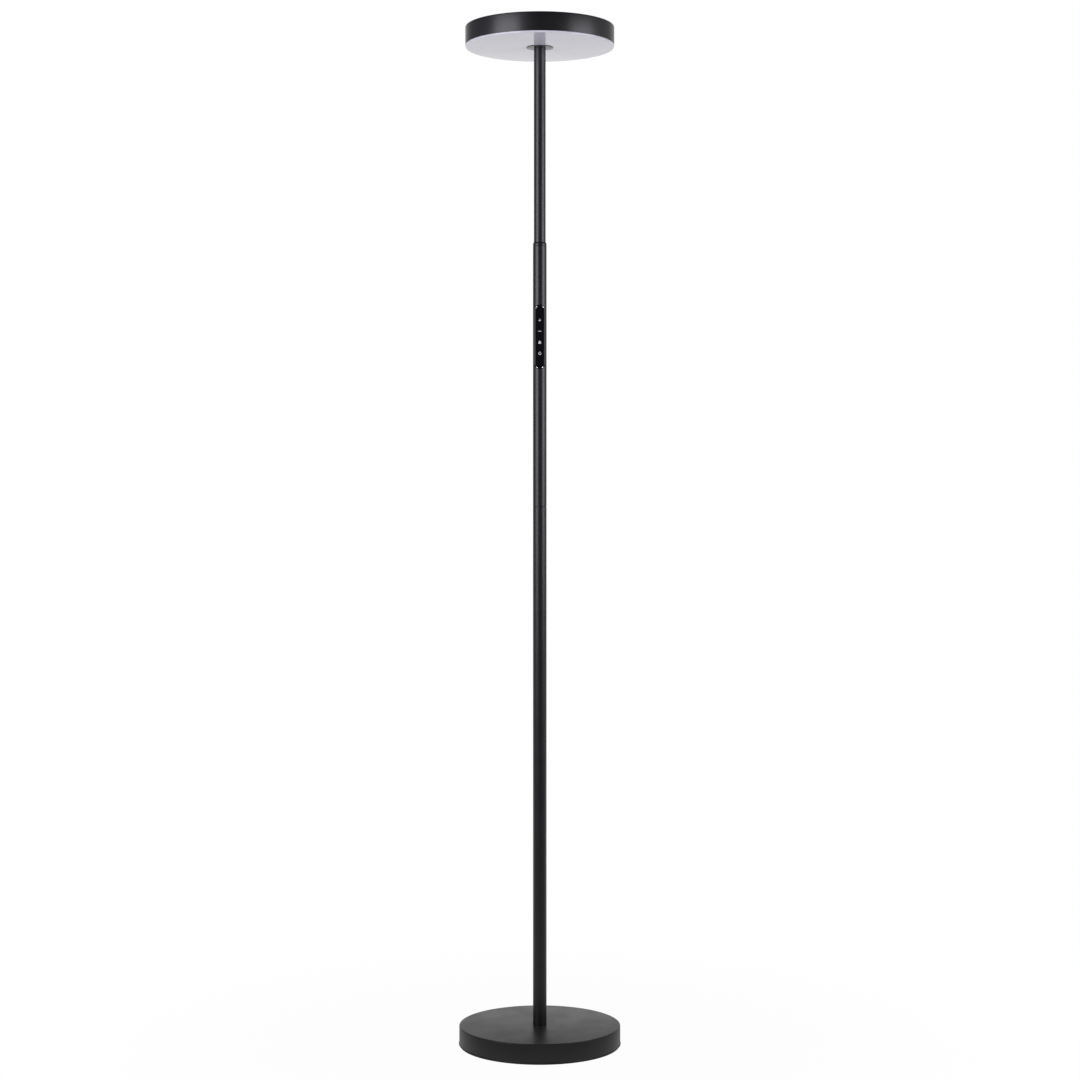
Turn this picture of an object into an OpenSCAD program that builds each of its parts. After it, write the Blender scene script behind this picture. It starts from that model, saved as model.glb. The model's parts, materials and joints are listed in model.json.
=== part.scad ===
// Slim torchiere floor lamp: weighted round base, screw-together pole with a touch panel,
// and a thin round head that shines up and down. All sizes are in millimetres.
// +Z is up, the origin is at the middle of the base on the floor, and the panel faces -Y.

/* [Whole lamp] */
// Height from the floor to the top of the head
total_h = 1645; // [1500:1:1900]

/* [Base] */
// Radius of the base cover
base_r = 130.5; // [115:0.5:160]
// Height of the base from the floor to its top face
base_h = 32.5; // [30:0.5:42]
// Sheet thickness of the base cover
cover_wall = 1.2; // [0.8:0.1:1.6]
// Radius of the rounded top edge of the cover
cover_edge_r = 1.5; // [1:0.1:2.5]
// How far the rolled bottom lip of the cover stands out
lip_out = 0.8; // [0.4:0.1:1.5]
// Height of the rolled bottom lip
lip_h = 1.6; // [1:0.1:3]
// Thickness of the foam pad under the base
pad_t = 2; // [1:0.1:3]
// How far the pad stays inside the cover's edge
pad_inset = 0.8; // [0.3:0.1:5]
// Thickness of the bottom plate
plate_t = 1.5; // [1.2:0.1:2.5]
// Thickness of the cast weight
weight_t = 12; // [11:0.5:14]
// Depth of the recess for the nut under the weight
nut_recess_h = 7; // [6:0.5:8]
// Radius of the recess for the nut under the weight
nut_recess_r = 16; // [14:0.5:25]
// Radius of the circle on which the three bottom bosses stand
boss_circle_r = 95; // [60:1:100]
// Radius of a bottom boss
boss_r = 7; // [5:0.5:9]
// Shank radius of a bottom plate screw
plate_screw_r = 2; // [1.5:0.1:2.5]
// Head radius of a bottom plate screw
plate_screw_head_r = 3.6; // [3.2:0.1:4.2]
// Length of a bottom plate screw
plate_screw_len = 11; // [8:0.5:13]

/* [Cord inlet] */
// Bore radius of the grommet, for a cord 6 mm across
grommet_bore_r = 3.1; // [2:0.1:3.4]
// How far the grommet's flanges reach over the edge of their hole
grommet_rim = 1.7; // [1:0.1:2]
// Thickness of the grommet's inner flange
grommet_in = 2.5; // [1.5:0.1:4]
// Length of the terminal block
block_len = 20; // [16:1:26]
// Width of the terminal block
block_w = 16; // [14:1:20]
// Distance from the pole's axis to the terminal block
block_y = 68; // [40:1:75]

/* [Pole] */
// Outer radius of the three lower tubes
tube_r = 11; // [10.6:0.1:13]
// Wall of the three lower tubes
tube_wall = 1.2; // [1:0.1:1.4]
// Length of the lower tube
lower_len = 428.5; // [300:0.5:480]
// Length of the middle tube
middle_len = 411.5; // [300:0.5:460]
// Length of the tube that holds the touch panel
control_len = 420; // [330:0.5:470]
// Outer radius of the upper tube
upper_r = 9.5; // [8.5:0.1:10.2]
// Wall of the upper tube
upper_wall = 1.1; // [0.8:0.1:1.4]
// Height of the collar at the step in the pole
collar_h = 6; // [4:0.5:12]
// Height of the collar's sloping shoulder
collar_slope_h = 3; // [1:0.1:3]
// Width of the flat edge that the collar keeps around the upper tube
collar_edge = 0.4; // [0.1:0.1:0.6]

/* [Threaded joints] */
// Outer radius of the threaded studs and nipples, M10
thread_r = 5; // [4:0.1:5.5]
// Radius of the hole through the studs and nipples
nipple_bore_r = 3; // [2.6:0.1:3.5]
// Length of a threaded bush
bush_len = 20; // [16:1:30]
// How far a thread reaches into the next tube's bush
thread_reach = 13; // [8:1:15]
// How far a nipple is held in its own tube's bush
thread_hold = 18; // [10:1:20]
// Height of a thin nut
nut_h = 4; // [3:0.1:4.5]
// Radius of a nut over its corners
nut_r = 8; // [7:0.1:8.8]
// Thickness of a washer
washer_t = 1.2; // [0.8:0.1:1.6]
// Radius of a washer
washer_r = 11; // [9:0.5:13]

/* [Internal lead] */
// Radius of the two-core lead inside the lamp
lead_r = 2.2; // [1.5:0.1:2.4]
// Radius of the lead's bend under the stud
lead_bend_r = 9; // [7:0.5:10]
// Radius of a single wire in the head
wire_r = 0.7; // [0.5:0.1:1]

/* [Touch panel] */
// Distance from the top of the control tube down to the middle of the panel
panel_drop = 147; // [90:1:220]
// Length of the panel
panel_len = 104; // [90:1:120]
// Width of the panel
panel_w = 17.4; // [16.8:0.1:18.5]
// How far the panel's face stands in front of the tube
panel_proud = 1; // [0.9:0.1:2]
// Width of the frame's rim around the touch face
rim_w = 1.1; // [0.9:0.1:1.3]
// Bevel on the front edge of the frame
rim_bevel = 0.6; // [0.2:0.1:0.7]
// Thickness of the touch face
face_t = 0.8; // [0.6:0.1:0.85]
// Distance between two symbols
key_pitch = 17.8; // [14:0.1:20]
// Size of a symbol
symbol_size = 4.7; // [4:0.1:7]
// Stroke width of a symbol
stroke_w = 1; // [0.8:0.1:1.5]
// Depth of the ink in the touch face
ink_t = 0.15; // [0.1:0.05:0.3]
// Mean radius of a touch spring
spring_r = 2.2; // [1.6:0.1:2.4]
// Wire radius of a touch spring
spring_wire_r = 0.25; // [0.15:0.05:0.3]
// Turns of a touch spring
spring_turns = 4; // [3:1:5]
// Thickness of the circuit board
board_t = 1.2; // [0.8:0.1:1.6]
// Width of the circuit board
board_w = 11.6; // [10:0.1:12]
// Length of the circuit board
board_len = 88; // [84:1:96]

/* [Head] */
// Outer radius of the head's ring
head_r = 120; // [110:1:150]
// Height of the head's ring
ring_h = 30; // [27:0.5:40]
// Wall of the ring
ring_wall = 1.5; // [1:0.1:2]
// Radius of the rounded top edge of the ring
ring_edge_r = 2; // [1:0.1:3]
// Width of the ring's in-turned top lip
lip_w = 5; // [4:0.5:10]
// How far the lower diffuser stands below the ring
diffuser_drop = 3; // [2:0.1:5]
// How much smaller the lower diffuser is than the ring
diffuser_inset = 0.4; // [0.2:0.1:2]
// Thickness of the diffusers' skirts and of the upper diffuser
diffuser_wall = 2; // [1.5:0.1:3]
// Height of the ledge inside the ring, above the ring's bottom edge
ledge_z = 6; // [5:0.5:10]
// Thickness of the ledge
ledge_h = 3; // [2:0.5:5]
// Width of the ledge
ledge_w = 9.5; // [9:0.5:14]
// Thickness of the plate that carries the light boards
carrier_t = 2; // [1.5:0.1:3]
// Thickness of a light board
led_board_t = 1.2; // [1:0.1:1.6]
// Outer radius of a light board
led_board_r = 104; // [98:1:106]
// Inner radius of a light board
led_board_hole_r = 30; // [26:1:36]
// Radius of the inner circle of light chips
inner_chip_circle_r = 50; // [40:1:60]
// Radius of the outer circle of light chips
outer_chip_circle_r = 90; // [76:1:96]
// Light chips on the inner circle
inner_chips = 18; // [8:1:24]
// Light chips on the outer circle
outer_chips = 30; // [16:1:40]
// Radius of the round plate under the head
mount_plate_r = 21.5; // [15:0.5:30]
// Thickness of the round plate under the head
mount_plate_t = 1; // [0.8:0.1:4]

/* [Small screws] */
// Shank radius of a small screw, M3
small_screw_r = 1.5; // [1:0.1:1.6]
// Head radius of a small screw
small_screw_head_r = 2.7; // [2.2:0.1:2.8]
// Head height of a small screw
small_screw_head_h = 1.6; // [1:0.1:2]

/* [Fits] */
// Gap at the seam between two sections that turn on each other
seam_gap = 0.1; // [0.05:0.01:0.2]
// Radial clearance of a thread that turns
running_gap = 0.05; // [0.02:0.01:0.1]
// Radial clearance of pieces that are pressed or screwed tight
press_gap = 0.02; // [0.01:0.01:0.05]

/* [Hidden] */
$fn = 96;
more = 1;                       // how far a cut runs past the face it opens

// Heights of the base, from the floor up
plate_top = pad_t + plate_t;
cover_inner_top = base_h - cover_wall;
weight_bottom = cover_inner_top - weight_t;
stud_seat = weight_bottom + nut_recess_h;
stud_nut_bottom = stud_seat - washer_t - nut_h;
stud_bottom = stud_nut_bottom - 0.8;
cover_inner_r = base_r - cover_wall;
lead_z = stud_bottom - lead_bend_r;
inlet_z = (plate_top + weight_bottom) / 2;
grommet_flange_r = (weight_bottom - plate_top) / 2 - 0.15;
grommet_neck_r = grommet_flange_r - grommet_rim;
block_bottom = lead_z - lead_r;
block_h = weight_bottom - block_bottom;
block_end = block_y + block_len;
block_screw_hold = 7;
terminal_x = block_w * 0.3;
terminal_screw_h = 4;
core_hole_r = 1.6;
core_hole_h = 6;
stud_pocket = nut_h + 1.5;

// Seams of the pole, from the base up
lower_seam = base_h;
middle_seam = lower_seam + lower_len;
control_seam = middle_seam + middle_len;
collar_seam = control_seam + control_len;
step_z = collar_seam + collar_h;
tube_inner_r = tube_r - tube_wall;
upper_inner_r = upper_r - upper_wall;

// Touch panel, measured outwards from the pole's axis
panel_z = collar_seam - panel_drop;
face_front = tube_r + panel_proud;
face_back = face_front - face_t;
face_w = panel_w - 2 * rim_w;
face_len = panel_len - 2 * rim_w;
slot_w = face_w - 0.2;
slot_len = face_len - 0.8;
plug_play = 0.1;
board_front = 5;
board_back = board_front - board_t;
board_screw_y = 34;
board_screw_r = 1;
board_screw_head_r = 1.8;
well_r = spring_r + spring_wire_r + 0.5;
socket_len = 7;
socket_w = 7.4;
socket_h = 6;
plug_len = 8;
plug_w = 6.6;
plug_h = 4.8;
plug_end = board_len / 2 + plug_len;

// Heights of the head
head_top = total_h;
ring_bottom = head_top - ring_h;
head_bottom = ring_bottom - diffuser_drop;
pole_top = head_bottom - mount_plate_t;
ring_inner_r = head_r - ring_wall;
ledge_bottom = ring_bottom + ledge_z;
carrier_bottom = ledge_bottom + ledge_h;
carrier_top = carrier_bottom + carrier_t;
carrier_r = ring_inner_r - 0.3;
lip_bottom = head_top - ring_wall;
skirt_r = ring_inner_r - 0.2;
carrier_screw_circle_r = skirt_r - diffuser_wall - small_screw_head_r - 1;
head_nut_top = carrier_top + washer_t + nut_h;
nipple_top = head_nut_top + 1;
led_w = 3.5;
led_d = 2.8;
led_h = 0.8;
led_screw_circle_r = (inner_chip_circle_r + outer_chip_circle_r) / 2;
connector_x = led_board_hole_r + 5;
connector_len = 8;
connector_w = 7;
connector_h = 4.5;
wire_side = 1.2;
wire_bend_r = 3;
wire_z = nipple_top + 4.5;
wire_hole_r = 3;
wire_hole_x = led_board_hole_r - 5;
lower_wire_z = carrier_bottom - led_board_t - connector_h / 2;

// ---- Shapes that several pieces share ----

// Hollow cylinder from height z0 to height z1
module ring(outer, inner, z0, z1) {
    difference() {
        translate([0, 0, z0]) cylinder(r = outer, h = z1 - z0);
        translate([0, 0, z0 - more]) cylinder(r = inner, h = z1 - z0 + 2 * more);
    }
}

// Cylinder that lies along Y, at height z, from y0 to y1
module bar_y(r, z, y0, y1) {
    translate([0, y0, z]) rotate([-90, 0, 0]) cylinder(r = r, h = y1 - y0);
}

// Six-sided nut with its bottom face at height z
module thin_nut(z) {
    difference() {
        translate([0, 0, z]) cylinder(r = nut_r, h = nut_h, $fn = 6);
        translate([0, 0, z - more]) cylinder(r = thread_r + press_gap, h = nut_h + 2 * more);
    }
}

// Quarter of a round wire's bend in the XZ plane, from +X at height 0 turning up to +Z
module quarter_bend(bend_r, r) {
    rotate([90, 0, 0]) rotate_extrude(angle = 90) translate([bend_r, 0]) circle(r = r);
}

// Flat shape with round ends, standing along Y
module stadium(w, len) {
    straight = len - w;
    square([w, straight], center = true);
    for (side = [0, 180]) {
        rotate(side) translate([0, straight / 2]) intersection() {
            circle(r = w / 2);
            translate([-w, 0]) square([2 * w, w]);
        }
    }
}

// Plate with round ends between two distances from the pole's axis
module pill(w, len, z0, z1) {
    translate([0, 0, z0]) linear_extrude(z1 - z0) stadium(w, len);
}

// The same plate with its front edge bevelled
module bevelled_pill(w, len, z0, z1, bevel) {
    straight = len - w;
    half = [[0, z0], [w / 2, z0], [w / 2, z1 - bevel], [w / 2 - bevel, z1], [0, z1]];
    rotate([90, 0, 0]) linear_extrude(straight, center = true) {
        polygon(half);
        mirror([1, 0]) polygon(half);
    }
    for (side = [0, 180]) {
        rotate(side) translate([0, straight / 2, 0]) rotate_extrude(angle = 180) polygon(half);
    }
}

// Places a child that is drawn flat, with its face up, on the front of the pole
module on_panel() {
    translate([0, 0, panel_z]) rotate([90, 0, 0]) children();
}

// Threaded bush pressed into a tube, its bottom face at height z
module bush(outer, bore, z) {
    ring(outer - press_gap, bore, z, z + bush_len);
}

// Hollow threaded rod that joins two sections at a seam
module nipple(seam) {
    ring(thread_r, nipple_bore_r, seam - thread_hold, seam + thread_reach);
}

// ---- Base ----

module base_cover() color([0.16, 0.16, 0.17]) {
    difference() {
        union() {
            rotate_extrude() cover_outline();
            translate([0, 0, pad_t + lip_h / 2]) cylinder(r1 = base_r + lip_out, r2 = base_r, h = lip_h / 2);
            translate([0, 0, pad_t]) cylinder(r = base_r + lip_out, h = lip_h / 2);
        }
        translate([0, 0, -more]) cylinder(r = cover_inner_r, h = cover_inner_top + more);
        cylinder(r = thread_r + press_gap, h = base_h + more);
        bar_y(grommet_neck_r + press_gap, inlet_z, base_r - 5, base_r + 5);
    }
}

// Half section of the cover's outside, with a round top edge
module cover_outline() {
    translate([0, pad_t]) square([base_r, base_h - pad_t - cover_edge_r]);
    translate([0, pad_t]) square([base_r - cover_edge_r, base_h - pad_t]);
    translate([base_r - cover_edge_r, base_h - cover_edge_r]) circle(r = cover_edge_r);
}

module base_weight() color([0.32, 0.32, 0.33]) {
    difference() {
        union() {
            translate([0, 0, weight_bottom]) cylinder(r = cover_inner_r - 1.5, h = weight_t);
            at_bosses() cylinder(r = boss_r, h = weight_bottom - plate_top + more);
        }
        translate([0, 0, weight_bottom - more]) cylinder(r = nut_recess_r, h = nut_recess_h + more);
        cylinder(r = thread_r + press_gap, h = base_h);
        at_bosses() translate([0, 0, -more]) cylinder(r = plate_screw_r, h = plate_screw_len + more);
        translate([0, block_y + block_len / 2, weight_bottom - more])
            cylinder(r = small_screw_r, h = block_screw_hold + 2 * more);
    }
}

// The three places where the bottom plate is screwed to the weight
module at_bosses() {
    for (angle = [30, 150, 270]) {
        rotate(angle) translate([boss_circle_r, 0, plate_top]) children();
    }
}

module base_plate() color([0.22, 0.22, 0.22]) {
    difference() {
        translate([0, 0, pad_t]) cylinder(r = cover_inner_r - 0.3, h = plate_t);
        at_bosses() translate([0, 0, -plate_t]) screw_head(press_gap);
        at_bosses() translate([0, 0, -plate_t - more]) cylinder(r = plate_screw_r, h = plate_t + 2 * more);
    }
}

// Countersunk head, as wide as the plate is thick, grown by a clearance
module screw_head(gap) {
    cylinder(r1 = plate_screw_head_r + gap, r2 = plate_screw_r + gap, h = plate_t);
}

module base_pad() color([0.05, 0.05, 0.05]) {
    cylinder(r = base_r - pad_inset, h = pad_t);
}

module plate_screws() color([0.7, 0.7, 0.72]) {
    at_bosses() {
        translate([0, 0, -plate_t]) screw_head(0);
        translate([0, 0, -plate_t]) cylinder(r = plate_screw_r - press_gap, h = plate_screw_len);
    }
}

module pole_stud() color([0.75, 0.73, 0.68]) {
    ring(thread_r, nipple_bore_r, stud_bottom, lower_seam + stud_pocket + thread_reach);
}

module stud_top_nut() color([0.75, 0.73, 0.68]) thin_nut(base_h);

module stud_washer() color([0.7, 0.7, 0.72]) {
    ring(washer_r, thread_r + press_gap, stud_seat - washer_t, stud_seat);
}

module stud_lock_nut() color([0.75, 0.73, 0.68]) thin_nut(stud_nut_bottom);

module cord_grommet() color([0.07, 0.07, 0.07]) {
    difference() {
        union() {
            difference() {
                bar_y(grommet_flange_r, inlet_z, base_r - more, base_r + lip_out);
                cylinder(r = base_r + press_gap, h = base_h);
            }
            intersection() {
                bar_y(grommet_flange_r, inlet_z, cover_inner_r - grommet_in, cover_inner_r);
                cylinder(r = cover_inner_r - press_gap, h = base_h);
            }
            bar_y(grommet_neck_r, inlet_z, cover_inner_r - grommet_in / 2, base_r + lip_out / 2);
        }
        bar_y(grommet_bore_r, inlet_z, cover_inner_r - grommet_in - more, base_r + lip_out + more);
    }
}

module terminal_block() color([0.85, 0.84, 0.8]) {
    difference() {
        translate([-block_w / 2, block_y, block_bottom]) cube([block_w, block_len, block_h]);
        translate([0, block_y + block_len / 2, 0]) cylinder(r = small_screw_r + press_gap, h = base_h);
        at_terminals() cylinder(r = small_screw_r + press_gap, h = terminal_screw_h);
        for (side = [-1, 1]) {
            translate([side * terminal_x, 0, 0])
                bar_y(core_hole_r, block_bottom + block_h / 2, block_end - core_hole_h, block_end + more);
        }
    }
}

// The four clamping screws in the underside of the terminal block
module at_terminals() {
    for (side = [-1, 1]) {
        for (y = [block_len / 4, block_len * 3 / 4]) {
            translate([side * terminal_x, block_y + y, block_bottom]) children();
        }
    }
}

module terminal_screws() color([0.8, 0.75, 0.5]) {
    at_terminals() cylinder(r = small_screw_r, h = terminal_screw_h);
}

module block_screw() color([0.7, 0.7, 0.72]) {
    translate([0, block_y + block_len / 2, block_bottom]) {
        translate([0, 0, -small_screw_head_h]) cylinder(r = small_screw_head_r, h = small_screw_head_h);
        cylinder(r = small_screw_r - press_gap, h = block_h + block_screw_hold);
    }
}

// Two-core lead: from the terminal block to the axis, up through the stud and the pole
module pole_lead() color([0.12, 0.12, 0.12]) {
    rise_start = lead_z + lead_bend_r;
    bar_y(lead_r, lead_z, lead_bend_r, block_y);
    translate([0, lead_bend_r, rise_start]) mirror([0, 0, 1]) rotate(-90) quarter_bend(lead_bend_r, lead_r);
    translate([0, 0, rise_start]) cylinder(r = lead_r, h = panel_z - plug_end - rise_start);
}

// ---- Pole ----

module lower_tube() color([0.2, 0.2, 0.21]) {
    ring(tube_r, tube_inner_r, lower_seam + seam_gap, middle_seam);
}

module lower_foot_bush() color([0.75, 0.73, 0.68]) {
    bush(tube_inner_r, thread_r + running_gap, lower_seam + stud_pocket);
}

module lower_top_bush() color([0.75, 0.73, 0.68]) {
    bush(tube_inner_r, thread_r + press_gap, middle_seam - bush_len);
}

module lower_nipple() color([0.75, 0.73, 0.68]) nipple(middle_seam);

module middle_tube() color([0.2, 0.2, 0.21]) {
    ring(tube_r, tube_inner_r, middle_seam + seam_gap, control_seam);
}

module middle_foot_bush() color([0.75, 0.73, 0.68]) {
    bush(tube_inner_r, thread_r + running_gap, middle_seam + seam_gap);
}

module middle_top_bush() color([0.75, 0.73, 0.68]) {
    bush(tube_inner_r, thread_r + press_gap, control_seam - bush_len);
}

module middle_nipple() color([0.75, 0.73, 0.68]) nipple(control_seam);

module control_tube() color([0.2, 0.2, 0.21]) {
    difference() {
        ring(tube_r, tube_inner_r, control_seam + seam_gap, collar_seam);
        on_panel() pill(slot_w, slot_len, 0, tube_r + more);
    }
}

module control_foot_bush() color([0.75, 0.73, 0.68]) {
    bush(tube_inner_r, thread_r + running_gap, control_seam + seam_gap);
}

module control_top_bush() color([0.75, 0.73, 0.68]) {
    bush(tube_inner_r, thread_r + press_gap, collar_seam - bush_len);
}

module control_nipple() color([0.75, 0.73, 0.68]) nipple(collar_seam);

module step_collar() color([0.2, 0.2, 0.21]) {
    difference() {
        union() {
            translate([0, 0, collar_seam + seam_gap])
                cylinder(r = tube_r, h = collar_h - collar_slope_h - seam_gap);
            translate([0, 0, step_z - collar_slope_h])
                cylinder(r1 = tube_r, r2 = upper_r + collar_edge, h = collar_slope_h);
        }
        translate([0, 0, collar_seam - more]) cylinder(r = upper_r + press_gap, h = collar_h + 2 * more);
    }
}

module upper_tube() color([0.2, 0.2, 0.21]) {
    ring(upper_r, upper_inner_r, collar_seam + seam_gap, pole_top);
}

module upper_foot_bush() color([0.75, 0.73, 0.68]) {
    bush(upper_inner_r, thread_r + running_gap, collar_seam + seam_gap);
}

module upper_top_bush() color([0.75, 0.73, 0.68]) {
    bush(upper_inner_r, thread_r + press_gap, pole_top - bush_len);
}

// ---- Touch panel ----

module panel_frame() color([0.04, 0.04, 0.045]) {
    plug_w_in = slot_w - 2 * plug_play;
    plug_len_in = slot_len - 2 * plug_play;
    on_panel() difference() {
        union() {
            difference() {
                bevelled_pill(panel_w, panel_len, board_front, face_front, rim_bevel);
                rotate([90, 0, 0]) cylinder(r = tube_r + press_gap, h = panel_len + 2 * more, center = true);
            }
            pill(plug_w_in, plug_len_in, board_front, face_back);
            snap_hooks();
        }
        pill(face_w, face_len, face_back, face_front + more);
        at_keys() translate([0, 0, board_front - more]) cylinder(r = well_r, h = face_back);
        at_board_screws() translate([0, 0, board_front - more]) cylinder(r = board_screw_r, h = 4 + more);
    }
}

// Hooks at both ends of the frame that hold it behind the wall of the tube
module snap_hooks() {
    hook_w = 6;
    hook_top = sqrt(pow(tube_inner_r, 2) - pow(hook_w / 2, 2)) - 0.15;
    for (side = [0, 180]) {
        rotate(side) translate([-hook_w / 2, slot_len / 2 - 3, hook_top - 2]) cube([hook_w, 4.5, 2]);
    }
}

// The four touch positions, from the top one down
module at_keys() {
    for (key = [0:3]) {
        translate([0, (1.5 - key) * key_pitch, 0]) children();
    }
}

module at_board_screws() {
    for (side = [-1, 1]) {
        translate([0, side * board_screw_y, 0]) children();
    }
}

module touch_face() color([0.02, 0.02, 0.025]) {
    on_panel() difference() {
        pill(face_w - 2 * press_gap, face_len - 2 * press_gap, face_back, face_front);
        symbols(ink_t + more);
    }
}

module key_symbols() color([0.9, 0.9, 0.9]) {
    on_panel() symbols(ink_t);
}

// Plus, minus, shade and power symbols, inlaid in the touch face
module symbols(depth) {
    translate([0, 1.5 * key_pitch, face_front - ink_t]) linear_extrude(depth) plus_outline();
    translate([0, 0.5 * key_pitch, face_front - ink_t]) linear_extrude(depth)
        square([symbol_size, stroke_w], center = true);
    translate([0, -0.5 * key_pitch, face_front - ink_t]) linear_extrude(depth) shade_outline();
    translate([0, -1.5 * key_pitch, face_front - ink_t]) linear_extrude(depth) power_outline();
}

module plus_outline() {
    square([symbol_size * 0.85, stroke_w], center = true);
    square([stroke_w, symbol_size * 0.85], center = true);
}

module shade_outline() {
    half = symbol_size / 2;
    polygon([[-half, -half], [half, -half], [half * 0.55, half], [-half * 0.55, half]]);
}

module power_outline() {
    half = symbol_size / 2;
    gap_w = stroke_w * 2.2;
    difference() {
        circle(r = half);
        circle(r = half - stroke_w);
        translate([-gap_w / 2, 0]) square([gap_w, half + more]);
    }
    translate([-stroke_w / 2, half * 0.3]) square([stroke_w, half]);
}

module touch_springs() color([0.8, 0.8, 0.8]) {
    on_panel() at_keys() touch_spring();
}

// Coil spring between the board and the touch face, as a wire swept along a helix
module touch_spring() {
    sides = 6;
    steps = spring_turns * 10;
    z0 = board_front + spring_wire_r + 0.1;
    rise = face_back - spring_wire_r - 0.1 - z0;
    points = [
        for (i = [0:steps])
            for (j = [0:sides - 1])
                let (turn = 360 * spring_turns * i / steps, around = 360 * j / sides)
                let (reach = spring_r + spring_wire_r * cos(around))
                [reach * cos(turn), reach * sin(turn), z0 + rise * i / steps + spring_wire_r * sin(around)]
    ];
    walls = [
        for (i = [0:steps - 1])
            for (j = [0:sides - 1])
                let (a = i * sides + j, b = i * sides + (j + 1) % sides)
                [a, a + sides, b + sides, b]
    ];
    start_cap = [[for (j = [0:sides - 1]) j]];
    end_cap = [[for (j = [sides - 1:-1:0]) steps * sides + j]];
    polyhedron(points, concat(walls, start_cap, end_cap));
}

module control_board() color([0.05, 0.3, 0.15]) {
    on_panel() difference() {
        translate([-board_w / 2, -board_len / 2, board_back]) cube([board_w, board_len, board_t]);
        at_board_screws() translate([0, 0, board_back - more])
            cylinder(r = board_screw_r + press_gap, h = board_t + 2 * more);
    }
}

module touch_chip() color([0.1, 0.1, 0.1]) {
    on_panel() translate([-2, -5, board_back - 1.4]) cube([4, 10, 1.4]);
}

module dimmer_transistors() color([0.1, 0.1, 0.1]) {
    on_panel() {
        for (side = [-1, 1]) {
            translate([-3, side * 18 - 3.2, board_back - 2.2]) cube([6, 6.4, 2.2]);
        }
    }
}

module board_screws() color([0.7, 0.7, 0.72]) {
    on_panel() at_board_screws() {
        translate([0, 0, board_back - 1.2]) cylinder(r = board_screw_head_r, h = 1.2);
        translate([0, 0, board_back]) cylinder(r = board_screw_r - press_gap, h = board_t + 3.5);
    }
}

module board_sockets() color([0.9, 0.89, 0.84]) {
    on_panel() {
        for (side = [0, 180]) {
            rotate(side) translate([-socket_w / 2, board_len / 2 - socket_len, board_back - socket_h])
                cube([socket_w, socket_len, socket_h]);
        }
    }
}

module lead_plugs() color([0.92, 0.92, 0.9]) {
    on_panel() {
        for (side = [0, 180]) {
            rotate(side) translate([-plug_w / 2, board_len / 2, -plug_h / 2])
                cube([plug_w, plug_len, plug_h]);
        }
    }
}

// ---- Head ----

module head_nipple() color([0.75, 0.73, 0.68]) {
    ring(thread_r, nipple_bore_r, pole_top - thread_hold, nipple_top);
}

module mount_plate() color([0.3, 0.3, 0.31]) {
    ring(mount_plate_r, thread_r + press_gap, pole_top, head_bottom);
}

module lower_diffuser() color([0.93, 0.93, 0.95]) {
    disc_r = head_r - diffuser_inset;
    difference() {
        union() {
            translate([0, 0, head_bottom]) cylinder(r = disc_r, h = diffuser_drop);
            ring(skirt_r, skirt_r - diffuser_wall, ring_bottom - more, ledge_bottom);
        }
        translate([0, 0, head_bottom - more])
            cylinder(r = thread_r + press_gap, h = diffuser_drop + 2 * more);
    }
}

module head_spacer() color([0.75, 0.73, 0.68]) {
    ring(thread_r + 4, thread_r + press_gap, ring_bottom, carrier_bottom);
}

// Hole through the thin plates of the head
module through_hole(r) {
    cylinder(r = r, h = 20, center = true);
}

module light_carrier() color([0.8, 0.8, 0.82]) {
    difference() {
        ring(carrier_r, thread_r + press_gap, carrier_bottom, carrier_top);
        at_carrier_screws() through_hole(small_screw_r + press_gap);
        at_light_screws() through_hole(small_screw_r + press_gap);
        translate([-wire_hole_x, 0, carrier_bottom]) through_hole(wire_hole_r);
    }
}

// The six places where the carrier is screwed down on the ring's ledge
module at_carrier_screws() {
    for (angle = [0:60:300]) {
        rotate(angle) translate([carrier_screw_circle_r, 0, carrier_top]) children();
    }
}

// The four places where both light boards are screwed to the carrier
module at_light_screws() {
    for (angle = [45:90:315]) {
        rotate(angle) translate([led_screw_circle_r, 0, carrier_bottom + carrier_t / 2]) children();
    }
}

// One ring-shaped light board with its bottom face at height z
module light_board(z) {
    difference() {
        ring(led_board_r, led_board_hole_r, z, z + led_board_t);
        at_light_screws() through_hole(small_screw_r + press_gap);
    }
}

// Two circles of light chips with their bottom faces at height z
module light_chips(z) {
    chip_circle(inner_chip_circle_r, inner_chips, z);
    chip_circle(outer_chip_circle_r, outer_chips, z);
}

module chip_circle(circle_r, count, z) {
    for (chip = [0.5:count]) {
        rotate(chip * 360 / count) translate([circle_r - led_d / 2, -led_w / 2, z])
            cube([led_d, led_w, led_h]);
    }
}

module lower_light_board() color([0.95, 0.95, 0.95]) light_board(carrier_bottom - led_board_t);

module lower_light_chips() color([0.95, 0.85, 0.4]) light_chips(carrier_bottom - led_board_t - led_h);

module upper_light_board() color([0.95, 0.95, 0.95]) light_board(carrier_top);

module upper_light_chips() color([0.95, 0.85, 0.4]) light_chips(carrier_top + led_board_t);

// Screws with a head above the upper board and a nut below the lower board
module light_board_screws() color([0.7, 0.7, 0.72]) {
    half = carrier_t / 2 + led_board_t;
    at_light_screws() {
        translate([0, 0, -half]) cylinder(r = small_screw_r - press_gap, h = 2 * half);
        translate([0, 0, half]) cylinder(r = small_screw_head_r, h = small_screw_head_h);
        translate([0, 0, -half - small_screw_head_h])
            cylinder(r = small_screw_head_r, h = small_screw_head_h, $fn = 6);
    }
}

module carrier_screws() color([0.7, 0.7, 0.72]) {
    at_carrier_screws() {
        cylinder(r = small_screw_head_r, h = small_screw_head_h);
        translate([0, 0, -carrier_t - ledge_h])
            cylinder(r = small_screw_r - press_gap, h = carrier_t + ledge_h + small_screw_head_h / 2);
    }
}

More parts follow.
